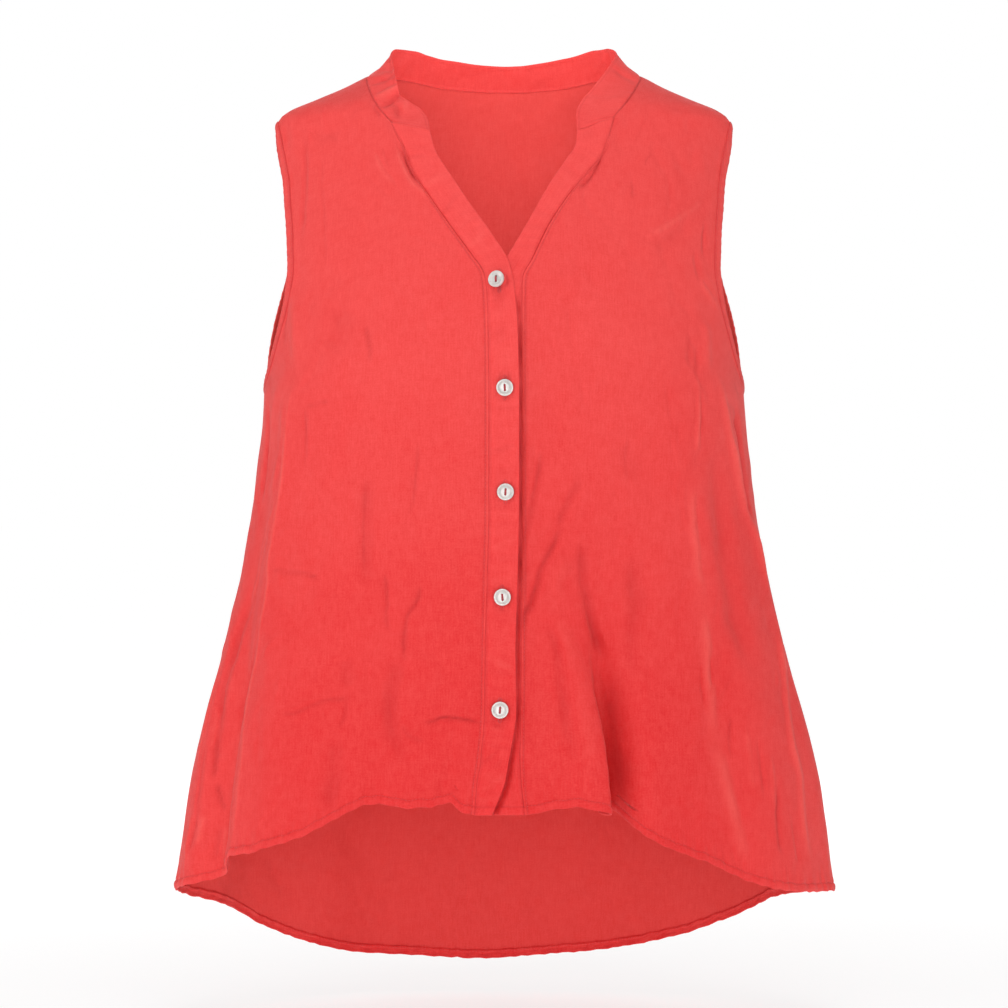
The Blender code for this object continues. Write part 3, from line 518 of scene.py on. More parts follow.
# rows and columns of cloth: close together where an edge, seam or stitch line runs
hemSteps = np.array([0, 0.35, 0.9, 1.8, 3.0, 4.2, 5.3, 6.2, 6.7, 7.2, 7.7, 8.2, 8.9, 10.2, 12.2])
bandRate = 25 / 0.06          # mm of front band to one unit of way, near the hem
sideRows = np.linspace(0.036, cut["underarmWay"], 142)
armholeRows = np.linspace(cut["underarmWay"], cut["shoulderWay"], 71)[1:]
shoulderRows = np.concatenate([np.linspace(cut["shoulderWay"], 1.0, 24)[1:-1], [0.9985, 0.9993, 1.0]])
ways = np.concatenate([sideRows, armholeRows, shoulderRows])
hemRows = len(hemSteps)

crumple = {"seed": 7, "perArea": 0.0016, "lengths": (12, 58), "widths": (2.0, 7.0), "depths": (0.12, 0.95)}


def puckers(along, seed, pitch, spread=0.35):
    # uneven little waves where a seam or hem stitch has drawn up, as a height for each place along it
    draw = random.Random(crumple["seed"] * 10 + seed)
    marks = [float(along.min()) - 20]
    heights = [0.0]
    sign = 1
    while marks[-1] < along.max() + 20:
        marks.append(marks[-1] + pitch * draw.uniform(1 - spread, 1 + spread) / 2)
        heights.append(sign * draw.uniform(0.15, 1.0))
        sign = -sign
    return smoothLine(marks, heights, along)


def sharesAcross(count, near=(0.0, 0.0016, 0.0036, 0.006, 0.009, 0.0125, 0.017, 0.023)):
    # shares across a panel whose columns crowd towards both edges
    near = np.array(near)
    middle = np.linspace(near[-1], 1 - near[-1], count + 1)[1:-1]
    return np.concatenate([near, middle, 1 - near[::-1]])


def armholeLoop(marks, width):
    # armhole edge and its seam in (depth, up) at marks counted along the table
    total = len(armholeEdge)

    def at(mark):
        k = int(math.floor(mark)) % total
        t = mark - math.floor(mark)
        a, b, c, d = [armholeEdge[(k + step) % total] for step in (-1, 0, 1, 2)]
        return 0.5 * (2 * b + (c - a) * t + (2 * a - 5 * b + 4 * c - d) * t**2
                      + (3 * b - a - 3 * c + d) * t**3)

    edge = np.array([at(mark % total) for mark in marks])
    along = unit(np.array([at((mark + 0.05) % total) - at((mark - 0.05) % total) for mark in marks]))
    seam = edge + width * np.stack([along[:, 1], -along[:, 0]], axis=1)
    for row, mark in enumerate(marks):
        tip = min(abs(mark), abs(mark - cut["underarmMark"]), abs(mark - total))
        if tip < 1e-6:
            seam[row, 0] = 0.0
    return edge, seam


def sideBorder(hemZ, behind):
    # side seam, armhole seam and shoulder seam of a panel, as (turn, height) rows for the ways
    total = len(armholeEdge)
    if behind:
        marks = np.linspace(cut["underarmMark"], total, len(armholeRows) + 1)
    else:
        marks = np.linspace(cut["underarmMark"], 0, len(armholeRows) + 1)
    seam = armholeLoop(marks, cut["armholeWidth"])[1]
    underarm = seam[0, 1]
    side = [(90, hemZ + (underarm - hemZ) * way / cut["underarmWay"]) for way in sideRows[:-1]]
    turned = sideTurn(seam[:, 0], seam[:, 1])
    turned = 180 - turned if behind else turned
    turned[0] = turned[-1] = 90
    armhole = list(zip(turned, seam[:, 1]))
    start = sectionAt(seam[-1, 1])[0]
    line = sections[-body["shoulderRows"]:][::-1]
    share = (shoulderRows - cut["shoulderWay"]) / (1 - cut["shoulderWay"])
    widths = start + (-backNeck[0, 1] - start) * share
    shoulder = [(90, smoothLine(line[:, 1], line[:, 0], width)) for width in widths]
    rows = np.array(side + armhole + shoulder, float)
    rows[-1, 1] = backNeck[0, 2]
    return rows


def patch(borders, across, way, behind):
    # fill four borders given as (turn, height) rows, with even lengths of cloth between them
    evened = []
    for border in borders:
        evened.append(np.stack([evenTurn(border[:, 0], border[:, 1], behind), border[:, 1]], axis=1))
    inner, outer, lower, upper = evened
    u = np.asarray(across)[:, None, None]
    v = np.asarray(way)[None, :, None]
    straight = (1 - u) * inner[None] + u * outer[None]
    lowerBow = lower[:, None] - (1 - u) * lower[0] - u * lower[-1]
    upperBow = upper[:, None] - (1 - u) * upper[0] - u * upper[-1]
    domain = (straight + lowerBow * ramp(1 - v / cut["lowerFade"])
              + upperBow * ramp((v - cut["upperFade"]) / (1 - cut["upperFade"])))
    domain[..., 0] = turnFromEven(domain[..., 0], domain[..., 1], behind)
    domain[0], domain[-1], domain[:, -1] = borders[0], borders[1], borders[3]
    # every row stays above the last one, also where the armhole seam dips at the underarm
    least = 0.1 * np.arange(domain.shape[1])
    domain[..., 1] = np.maximum.accumulate(domain[..., 1] - least, axis=1) + least
    return domain


def withHem(domain, hem, seed, bandEdge=None):
    # rows of the turned hem, a constant width above the cut edge, below the rest of the panel
    turned, edge = hem[:, 0], hem[:, 1]
    run = flatAcross(turned, edge, False)
    calm = ramp(np.arange(len(run)) / 5) * ramp(np.arange(len(run))[::-1] / 5)
    edge = edge + cut["hemWave"][0] * calm * puckers(run, seed, cut["hemWave"][1], 0.6)
    reach = np.abs(np.gradient(run))
    slope = np.gradient(edge) / np.maximum(reach, 1e-6)
    slant = np.minimum(np.sqrt(1 + slope**2), 1.35)
    rows = np.stack([np.repeat(turned[:, None], hemRows, 1),
                     edge[:, None] + hemSteps[None] * slant[:, None]], axis=-1)
    if bandEdge is not None:
        rows[0] = bandEdge
    return np.concatenate([rows, domain], axis=1)


def bandColumn(band, column):
    low = smoothLine(band[:, 0], band[:, column], hemSteps / bandRate)
    return np.concatenate([low, smoothLine(band[:, 0], band[:, column], ways)])


def frontDomain(sign, band, neck, hem, across):
    x, z = bandColumn(band, 1), bandColumn(band, 2)
    inner = np.stack([turnOf(x, z) * sign, z], axis=1)
    outer = sideBorder(hem[-1, 1], False)
    neckX = smoothLine(neck[:, 0], neck[:, 1], across)
    neckZ = smoothLine(neck[:, 0], neck[:, 2], across)
    upper = np.stack([turnOf(neckX, neckZ) * sign, neckZ], axis=1)
    upper[0], upper[-1] = inner[-1], outer[-1]
    turned = inner[0, 0] + (90 - inner[0, 0]) * across
    lower = np.stack([turned, smoothLine(hem[:, 0], hem[:, 1], turned)], axis=1)
    lower[0] = inner[0]
    domain = patch((inner[hemRows:], outer, lower, upper), across, ways, False)
    return withHem(domain, lower, 91, inner[:hemRows])


def backDomain(across):
    right = sideBorder(hemBack[0, 1], True) * (-1, 1)
    left = sideBorder(hemBack[-1, 1], True)
    x = smoothLine(backNeck[:, 0], backNeck[:, 1], across)
    z = smoothLine(backNeck[:, 0], backNeck[:, 2], across)
    upper = np.stack([turnOf(x, z), z], axis=1)
    upper[0], upper[-1] = right[-1], left[-1]
    turned = -90 + 180 * across
    lower = np.stack([turned, smoothLine(hemBack[:, 0], hemBack[:, 1], turned)], axis=1)
    domain = patch((right, left, lower, upper), across, ways, True)
    domain = withHem(domain, lower, 90)
    turned = np.clip(domain[..., 0], -89.9999, 89.9999)
    return np.stack([np.where(turned < 0, turned + 180, turned - 180) * -1, domain[..., 1]], axis=-1)


# Each crease: half width and height out or in, how much paler its crest is drawn (partly rubbed wear, partly
# painted highlight) or how much darker its bottom (painted shade), and the places (across, up) it runs
# through, all in mm as seen from its own side
creases = {
    "frontRight": [
        # pressed edge down the side, with its pinch, and the ripples behind it
        (1.3, 1.0, 0.62, [(-173, -250), (-182, -284), (-186, -318), (-189, -353), (-196, -395), (-201, -428),
                          (-201, -442), (-207, -474), (-211, -505), (-217, -531), (-221, -557), (-223, -584),
                          (-226, -614), (-229, -642), (-231, -668), (-233, -700)]),
        (1.8, 0.9, 0.30, [(-192, -369), (-202, -393), (-207, -412), (-211, -434), (-219, -458),
                          (-226, -474)]),
        (3.0, -1.6, -0.30, [(-208, -480), (-215, -506), (-221, -532), (-226, -558), (-229, -590),
                            (-232, -622)]),
        (4.0, -2.0, -0.30, [(-204, -283), (-205, -318), (-208, -352), (-210, -377)]),
        (5.0, -3.2, -0.40, [(-215, -443), (-222, -465), (-230, -486), (-240, -518), (-247, -546),
                            (-249, -577), (-250, -607)]),
        (1.8, -1.6, -0.60, [(-248, -570), (-249, -590), (-251, -612)]),
        (1.8, -1.4, -0.50, [(-248, -612), (-244, -626), (-240, -640)]),
        (1.6, 1.0, 0.50, [(-250, -545), (-251, -566), (-253, -588)]),
        (1.6, 1.2, 0.45, [(-244, -505), (-252, -535), (-259, -565), (-264, -590), (-268, -610)]),
        (2.0, -1.0, -0.35, [(-258, -580), (-262, -610), (-266, -640)]),
        (2.0, 1.2, 0.45, [(-257, -640), (-262, -655), (-265, -670)]),
        (2.0, -1.2, -0.40, [(-262, -630), (-268, -655), (-272, -676)]),
        (2.0, -1.1, -0.35, [(-243, -650), (-247, -668), (-247, -684)]),
        (1.8, 1.0, 0.40, [(-238, -650), (-240, -668), (-241, -684)]),
        (1.8, 1.0, 0.35, [(-270, -640), (-274, -668), (-277, -694)]),
        # short creases across the waist and skirt
        (1.5, -1.2, -0.50, [(-199, -429), (-182, -431), (-169, -432), (-160, -435), (-153, -440)]),
        (1.6, -0.8, -0.35, [(-169, -290), (-168, -319), (-169, -345)]),
        (1.5, -0.6, -0.30, [(-169, -291), (-157, -288), (-146, -286)]),
        (6.0, -1.7, -0.20, [(-116, -345), (-116, -375), (-115, -400), (-116, -427), (-112, -447)]),
        (1.6, -0.6, -0.25, [(-117, -355), (-119, -395), (-118, -430)]),
        (1.8, -0.7, -0.25, [(-71, -318), (-73, -346), (-75, -363), (-78, -378), (-86, -387)]),
        (1.8, -1.1, -0.40, [(-100, -428), (-98, -453), (-98, -470), (-93, -485)]),
        (2.0, -1.7, -0.55, [(-68, -438), (-74, -457), (-81, -468), (-83, -480), (-84, -497), (-83, -508)]),
        (6.5, -2.3, -0.30, [(-88, -497), (-93, -524), (-96, -543), (-94, -563), (-88, -580), (-85, -594)]),
        (2.5, -0.9, -0.25, [(-87, -557), (-79, -567), (-66, -571)]),
        (1.7, -1.1, -0.40, [(-192, -550), (-180, -550), (-163, -543), (-150, -538), (-134, -537),
                            (-124, -538)]),
        (2.0, -0.8, -0.25, [(-133, -537), (-134, -552), (-141, -562)]),
        (7.5, -2.5, -0.25, [(-140, -568), (-143, -585), (-143, -600), (-146, -616), (-156, -634)]),
        (6.0, -1.3, -0.15, [(-134, -500), (-133, -515), (-133, -528)]),
        (1.5, -1.5, -0.60, [(-70, -556), (-58, -554), (-52, -551), (-37, -552), (-20, -555), (-13, -557)]),
        # chest, shoulder and the roll of cloth beside the neck band
        (2.0, -1.4, -0.50, [(-114, -26), (-110, -33), (-106, -40)]),
        (3.0, -1.0, -0.25, [(-174, -50), (-172, -77), (-172, -105), (-175, -149)]),
        (5.0, -0.9, -0.15, [(-170, -52), (-155, -56), (-140, -50)]),
        (2.0, -0.5, -0.15, [(-156, -68), (-157, -94), (-154, -124), (-152, -160), (-151, -178)]),
        (1.8, 0.9, 0.30, [(-111, -71), (-104, -88), (-92, -103)]),
        (2.0, -0.6, -0.15, [(-104, -66), (-100, -80), (-97, -86)]),
        (2.0, 1.7, 0.40, [(-93, -64), (-87, -82), (-80, -97), (-72, -106), (-58, -119)]),
        (1.5, -1.7, -0.70, [(-88, -66), (-82, -85), (-75, -97), (-67, -104)]),
        (9.0, 2.2, 0.10, [(-180, -195), (-178, -212), (-176, -245), (-178, -262)]),
        (13.0, -2.6, -0.10, [(-136, -205), (-141, -224), (-148, -245)]),
        (1.8, -0.9, -0.35, [(-117, -222), (-113, -243), (-112, -256)]),
        (1.8, -0.9, -0.30, [(-185, -206), (-188, -224), (-188, -240)]),
    ],
    "frontLeft": [
        # creases fanning from the third button to the deep fold
        (2.7, -2.3, -0.60, [(49, -388), (44, -402), (38, -414), (31, -427), (27, -441), (23, -454),
                            (16, -468), (13, -490)]),
        (6.0, 1.8, 0.10, [(52, -418), (44, -436), (36, -456)]),
        (3.5, -1.3, -0.30, [(66, -350), (52, -374), (45, -396)]),
        (2.6, -1.4, -0.35, [(33, -326), (24, -368), (17, -399), (13, -412)]),
        (4.5, -2.9, -0.50, [(66, -400), (65, -430), (69, -451), (74, -474), (80, -496), (84, -515)]),
        (4.0, -1.9, -0.25, [(35, -466), (45, -496), (47, -517), (51, -552), (57, -580), (52, -597)]),
        (6.0, 1.7, 0.15, [(39, -450), (57, -500), (66, -526), (72, -580), (75, -618)]),
        (8.0, -2.5, -0.20, [(112, -405), (110, -441), (114, -454), (108, -483), (106, -506), (114, -524)]),
        (10.0, -1.7, -0.12, [(98, -322), (112, -340), (106, -356)]),
        # uneven ridges down towards the side, drawn paler along their crests: partly rubbed wear, partly
        # painted highlight
        (2.6, 0.9, 0.40, [(159, -262), (166, -278), (165, -304), (162, -336)]),
        (1.6, -1.1, -0.40, [(166, -258), (167, -296), (166, -324)]),
        (3.6, 1.2, 0.38, [(162, -354), (159, -378), (162, -408), (163, -426), (170, -452)]),
        (4.2, 1.4, 0.40, [(168, -462), (171, -497), (170, -518), (174, -530), (176, -556), (179, -573)]),
        (5.0, 1.4, 0.40, [(180, -578), (185, -598), (189, -615), (196, -645), (201, -666), (206, -678)]),
        (9.0, 0.0, 0.16, [(160, -380), (168, -460), (176, -560), (192, -640), (204, -680)]),
        (1.5, -1.2, -0.35, [(174, -500), (175, -520), (173, -540)]),
        (1.5, -1.0, -0.30, [(166, -505), (167, -528), (169, -545)]),
        (4.4, 1.9, 0.50, [(178, -253), (186, -275), (192, -302), (199, -335), (205, -365), (214, -391),
                          (222, -419), (227, -439), (234, -466)]),
        (4.0, 1.7, 0.45, [(235, -462), (239, -490), (242, -520), (244, -546), (247, -577), (255, -607),
                          (256, -638), (261, -671), (268, -690)]),
        (5.0, -3.2, -0.75, [(198, -285), (204, -318), (209, -356), (215, -398)]),
        (11.0, -3.4, -0.20, [(177, -318), (186, -390), (192, -440), (207, -500), (220, -528)]),
        (1.8, -1.4, -0.75, [(233, -612), (233, -641), (235, -663), (240, -674)]),
        (1.8, -0.9, -0.30, [(193, -552), (191, -574), (194, -590)]),
        (1.8, 0.9, 0.30, [(205, -560), (208, -590), (212, -618)]),
        (1.8, -0.9, -0.25, [(216, -575), (219, -600), (222, -625)]),
        (2.0, 0.9, 0.25, [(226, -585), (229, -612), (230, -640)]),
        (2.2, -1.0, -0.20, [(246, -640), (250, -664), (254, -684)]),
        # painted shade along the bottom of the deep fold
        (6.0, 0.0, -0.50, [(86, -500), (92, -560), (98, -610), (100, -660), (100, -690)]),
        # chest and armhole
        (1.8, 1.2, 0.40, [(118, -148), (139, -136), (156, -124), (174, -110)]),
        (6.0, -1.4, -0.12, [(128, -158), (146, -145), (160, -134)]),
        (1.8, -0.8, -0.30, [(120, -82), (124, -76), (128, -70)]),
        (2.0, -0.8, -0.25, [(109, -96), (110, -104), (111, -112)]),
        (2.0, -1.2, -0.35, [(172, -132), (171, -146), (172, -160)]),
        (1.8, 1.0, 0.35, [(166, -182), (176, -196), (186, -208)]),
        (2.0, 0.8, 0.25, [(170, -176), (178, -186), (190, -200)]),
        (3.0, -1.4, -0.25, [(162, -158), (165, -172), (168, -182)]),
        (2.2, -1.2, -0.30, [(158, -228), (156, -246), (157, -258)]),
        (1.6, -1.0, -0.30, [(163, -238), (163, -252), (162, -268)]),
        (5.0, 1.6, 0.15, [(170, -215), (172, -240), (172, -262)]),
        (1.6, -1.6, -0.60, [(86, -66), (81, -82), (74, -95), (62, -106)]),
    ],
    "back": [
        # pulls from the shoulder blades and waist, and the long folds of the skirt between them
        (9.0, -1.5, -0.10, [(-96, -96), (-62, -132), (-30, -150)]),
        (8.0, -1.4, -0.10, [(104, -88), (74, -128), (40, -156), (20, -160)]),
        (1.8, 0.9, 0.30, [(-150, -118), (-132, -132), (-112, -140)]),
        (1.8, -0.8, -0.25, [(128, -140), (112, -150), (92, -166)]),
        (13.0, -1.0, 0.0, [(-20, -34), (-26, -90), (-18, -150)]),
        (2.0, -0.7, -0.20, [(34, -30), (38, -76), (30, -118)]),
        (8.0, -1.5, -0.10, [(-128, -286), (-90, -300), (-48, -296)]),
        (1.6, -1.0, -0.35, [(-110, -300), (-74, -314), (-30, -310)]),
        (8.0, -1.6, -0.10, [(60, -272), (98, -290), (140, -284)]),
        (1.8, -1.0, -0.30, [(30, -330), (70, -342), (118, -336)]),
        (8.0, 1.4, 0.10, [(-170, -250), (-160, -330), (-168, -400)]),
        (7.0, 1.2, 0.10, [(168, -240), (172, -320), (182, -396), (196, -460)]),
        (12.0, -1.8, -0.10, [(-60, -420), (-52, -520), (-58, -640)]),
        (13.0, -1.7, -0.10, [(46, -400), (40, -500), (50, -610)]),
        (1.8, 1.0, 0.28, [(-16, -390), (-7, -450), (-11, -530), (1, -610), (7, -690)]),
        (1.8, -1.0, -0.35, [(-150, -560), (-120, -552), (-84, -560)]),
        (1.8, -1.1, -0.35, [(100, -600), (136, -588), (170, -594)]),
        (1.8, 1.4, 0.45, [(-214, -400), (-226, -470), (-246, -560), (-258, -640)]),
        (1.8, 1.4, 0.45, [(212, -390), (226, -480), (244, -566)]),
        (4.5, -2.2, -0.30, [(-196, -420), (-206, -500), (-220, -590)]),
        (4.5, -2.2, -0.30, [(196, -430), (210, -520), (226, -600)]),
        (6.0, 1.0, 0.10, [(-40, -690), (-34, -730), (-40, -770)]),
        (7.0, -1.2, -0.10, [(84, -660), (90, -710), (86, -752)]),
        (2.0, 1.0, -0.20, [(-138, -720), (-131, -745), (-124, -757), (-127, -770)]),
        (1.8, -0.9, -0.25, [(128, -640), (124, -682), (130, -720)]),
    ],
}


creaseGain = 1.6      # how much deeper than listed every crease is drawn, to show in the soft light


def creaseLift(creaseList, flat, height, behind):
    # height and painted light, paler crests and darker furrows, that the listed creases add over a panel
    # measured flat
    lift = np.zeros_like(flat)
    wearAndPaintedLight = np.zeros_like(flat)
    draw = random.Random(41)
    for width, depth, paleAndShade, path in creaseList:
        path = np.array(path, float)
        turned = turnOf(path[:, 0], path[:, 1]) if behind else seenTurn(path[:, 0], path[:, 1])
        if behind:
            turned = np.where(turned < 0, -180 - turned, 180 - turned)
        line = np.stack([flatAcross(turned, path[:, 1], behind), path[:, 1]], axis=1)
        marks = np.linspace(0, 1, 5 * len(path))
        spaced = np.linspace(0, 1, len(path))
        line = np.stack([smoothLine(spaced, line[:, k], marks) for k in (0, 1)], axis=1)
        # a crease is never quite straight
        line[:, 0] += np.array([draw.gauss(0, 0.25) for _ in marks])
        reach = 3.2 * width
        near = ((flat > line[:, 0].min() - reach) & (flat < line[:, 0].max() + reach)
                & (height > line[:, 1].min() - reach) & (height < line[:, 1].max() + reach))
        across, up = flat[near], height[near]
        steps = np.linalg.norm(np.diff(line, axis=0), axis=1)
        start = np.concatenate([[0], np.cumsum(steps)])
        nearest = np.full(across.shape, 1e9)
        way = np.zeros_like(across)
        for k, step in enumerate(steps):
            run = (line[k + 1] - line[k]) / step
            t = np.clip((across - line[k, 0]) * run[0] + (up - line[k, 1]) * run[1], 0, step)
            away = np.hypot(across - line[k, 0] - t * run[0], up - line[k, 1] - t * run[1])
            closer = away < nearest
            nearest = np.where(closer, away, nearest)
            way = np.where(closer, (start[k] + t) / start[-1], way)
        taper = ramp(way / 0.22) * ramp((1 - way) / 0.26)
        taper *= 0.82 + 0.18 * np.sin(way * start[-1] / draw.uniform(7, 16) + draw.uniform(0, 6))
        # narrow creases are pressed to an edge, broad ones stay soft
        profile = np.exp(-((nearest / width) ** (1.35 if width < 2.6 else 2))) * taper
        lift[near] += creaseGain * depth * profile
        # crests drawn paler (partly wear, partly painted highlight), furrows darker (painted shade)
        wearAndPaintedLight[near] += paleAndShade * profile
    return lift, wearAndPaintedLight


def crumpleLift(flat, height, seed):
    # small uneven creases left by washing, scattered at random but the same each run
    draw = random.Random(crumple["seed"] * 100 + seed)
    low, high = (flat.min(), height.min()), (flat.max(), height.max())
    count = int((high[0] - low[0]) * (high[1] - low[1]) * crumple["perArea"])
    lift = np.zeros_like(flat)
    for _ in range(count):
        cx, cz = draw.uniform(low[0], high[0]), draw.uniform(low[1], high[1])
        length, width = draw.uniform(*crumple["lengths"]), draw.uniform(*crumple["widths"])
        turn = draw.gauss(math.pi / 2, 0.75)
        deep = draw.uniform(*crumple["depths"]) * draw.choice((-1, 1, -1))
        bend = draw.uniform(-0.012, 0.012)
        near = (np.abs(flat - cx) < length) & (np.abs(height - cz) < length)
        if not near.any():
            continue
        dx, dz = flat[near] - cx, height[near] - cz
        along = dx * math.cos(turn) + dz * math.sin(turn)
        off = -dx * math.sin(turn) + dz * math.cos(turn) + bend * along**2
        side = np.where(off > 0, 1.0, draw.uniform(0.45, 0.8))
        lift[near] += deep * bell(off * side, width) * np.exp(-((2 * along / length) ** 2) * 1.4)
    return lift


def softWaves(flat, height, seed, size, depth):
    # broad, very shallow unevenness of hanging cloth
    draw = random.Random(crumple["seed"] * 1000 + seed)
    lift = np.zeros_like(flat)
    for _ in range(9):
        turn = draw.gauss(0, 0.5)
        length = size * draw.uniform(0.7, 1.9)
        lift += np.sin((flat * math.cos(turn) + height * math.sin(turn)) * 2 * math.pi / length
                       + draw.uniform(0, 2 * math.pi)) * draw.uniform(0.3, 1.0)
    return lift * depth / 4.5


def gridNormals(points, closed=False):
    if closed:
        wrapped = np.concatenate([points[-1:], points, points[:1]])
        du, dv = np.gradient(wrapped, axis=0)[1:-1], np.gradient(points, axis=1)
    else:
        du, dv = np.gradient(points, axis=0), np.gradient(points, axis=1)
    return unit(np.cross(du, dv))


def faceOut(points, normals):
    middle = np.array([0.0, 0.0, points[..., 2].mean()])
    ray = points - middle
    ray[..., 2] = 0
    return -normals if np.mean(np.sum(ray * normals, axis=-1)) < 0 else normals


def runAlong(points, axis):
    steps = np.linalg.norm(np.diff(points, axis=axis), axis=2)
    zero = np.zeros_like(np.take(points[..., 0], [0], axis=axis))
    return np.concatenate([zero, np.cumsum(steps, axis=axis)], axis=axis)


def clothShell(name, points, normals, outward, inward, flat, cloth, wearAndPaintedLight=None, closed=False, insidePaleAndShade=None):
    # thin closed shell: the outer face lies outward and the inner face inward of the points, in mm
    countU, countV = points.shape[:2]
    outer = points + normals * np.asarray(outward)[..., None]
    inner = points - normals * np.asarray(inward)[..., None]
    verts = np.concatenate([outer.reshape(-1, 3), inner.reshape(-1, 3)]) * mm
    shift = countU * countV
    index = np.arange(shift).reshape(countU, countV)
    if closed:
        index = np.concatenate([index, index[:1]])
    quads = np.stack([index[:-1, :-1], index[1:, :-1], index[1:, 1:], index[:-1, 1:]], axis=-1).reshape(-1, 4)
    rims = [np.stack([index[1:, 0], index[:-1, 0]], 1), np.stack([index[:-1, -1], index[1:, -1]], 1)]
    if not closed:
        rims += [np.stack([index[0, :-1], index[0, 1:]], 1), np.stack([index[-1, 1:], index[-1, :-1]], 1)]
    rims = np.concatenate(rims)
    faces = np.concatenate([quads, quads[:, ::-1] + shift,
                            np.stack([rims[:, 0], rims[:, 1], rims[:, 1] + shift, rims[:, 0] + shift], 1)])
    sense = np.cross(np.gradient(points, axis=0), np.gradient(points, axis=1))
    if np.mean(np.sum(sense * normals, axis=-1)) < 0:
        faces = faces[:, ::-1]
    mesh = bpy.data.meshes.new(name)
    mesh.vertices.add(len(verts))
    mesh.vertices.foreach_set("co", verts.ravel())
    mesh.loops.add(faces.size)
    mesh.loops.foreach_set("vertex_index", faces.ravel().astype(np.int32))
    mesh.polygons.add(len(faces))
    mesh.polygons.foreach_set("loop_start", np.arange(0, faces.size, 4, dtype=np.int32))
    mesh.polygons.foreach_set("use_smooth", np.ones(len(faces), bool))
    mesh.update(calc_edges=True)
    layer = mesh.uv_layers.new(name="cloth")
    both = np.concatenate([flat.reshape(-1, 2), flat.reshape(-1, 2)]) * mm
    layer.data.foreach_set("uv", both[faces.ravel()].ravel())
    wornAndPaintedLight = np.zeros(shift) if wearAndPaintedLight is None else np.clip(wearAndPaintedLight, -1, 1).ravel()
    insidePaleAndShadeValues = wornAndPaintedLight * 0 if insidePaleAndShade is None else np.clip(insidePaleAndShade, -1, 1).ravel()
    attribute = mesh.attributes.new("wearAndPaintedLight", "FLOAT", "POINT")
    attribute.data.foreach_set("value", np.concatenate([wornAndPaintedLight, insidePaleAndShadeValues]).astype(np.float32))
    mesh.validate()
    mesh.materials.append(cloth)
    piece = bpy.data.objects.new(name, mesh)
    bpy.context.scene.collection.objects.link(piece)
    area = sum(p.area for p in mesh.polygons) / 2
    print("cloth piece %s: %d triangles, %.4f square metres" % (name, 2 * len(faces), area))
    return piece


panel = {
    "wall": 0.7,
    "hemFold": 0.9,           # extra cloth in the turned hem, on the inside
    "hemRoll": 0.9,           # how far the turned hem stands rounded
    "bandStitch": 3.4,        # topstitch on the panel beside the band seam
    "seamDitch": 0.55,        # depth and half width of the line where a seam or stitch draws in
    "seamWidth": 0.9,
    "hemStitch": 7.0,
    "puckerPitch": 11.0,
    "puckerHeight": 0.95,
    # beside the V of the neck: depth and half width of the gap at the seam, height, distance and half width
    # of the roll of cloth next to it
    "neckGap": {"frontRight": (2.0, 1.5, 1.5, 4.6, 2.6), "frontLeft": (1.5, 1.4, 1.0, 4.4, 2.6)},
    "grooveDepth": 3.6,       # the under front sinks beside the free edge of the upper band
    "grooveWidth": 2.6,
}


def neckShare(z):
    # where along the V the seam gapes most
    return ramp((z + 190) / 40) * ramp((-52 - z) / 16)


def freeEdgeGroove(x, z):
    # sinks the lower band and the left front just beyond the free edge of the upper band, and darkens the
    # groove with painted shade
    low = np.argsort(upperBandCut[:, 4])
    edge = smoothLine(upperBandCut[low, 4] + np.arange(len(low)) * 1e-3, upperBandCut[low, 3], z)
    uneven = 0.72 + 0.28 * puckers(z.ravel(), 47, 46.0).reshape(z.shape)
    share = bell(x - edge - 1.4, panel["grooveWidth"]) * ramp((-196 - z) / 14)
    shade = bell(x - edge - 0.9, 1.5) * ramp((-196 - z) / 14)
    return -panel["grooveDepth"] * uneven * share * (1 + 0.6 * ramp((-560 - z) / 50)), -uneven * shade


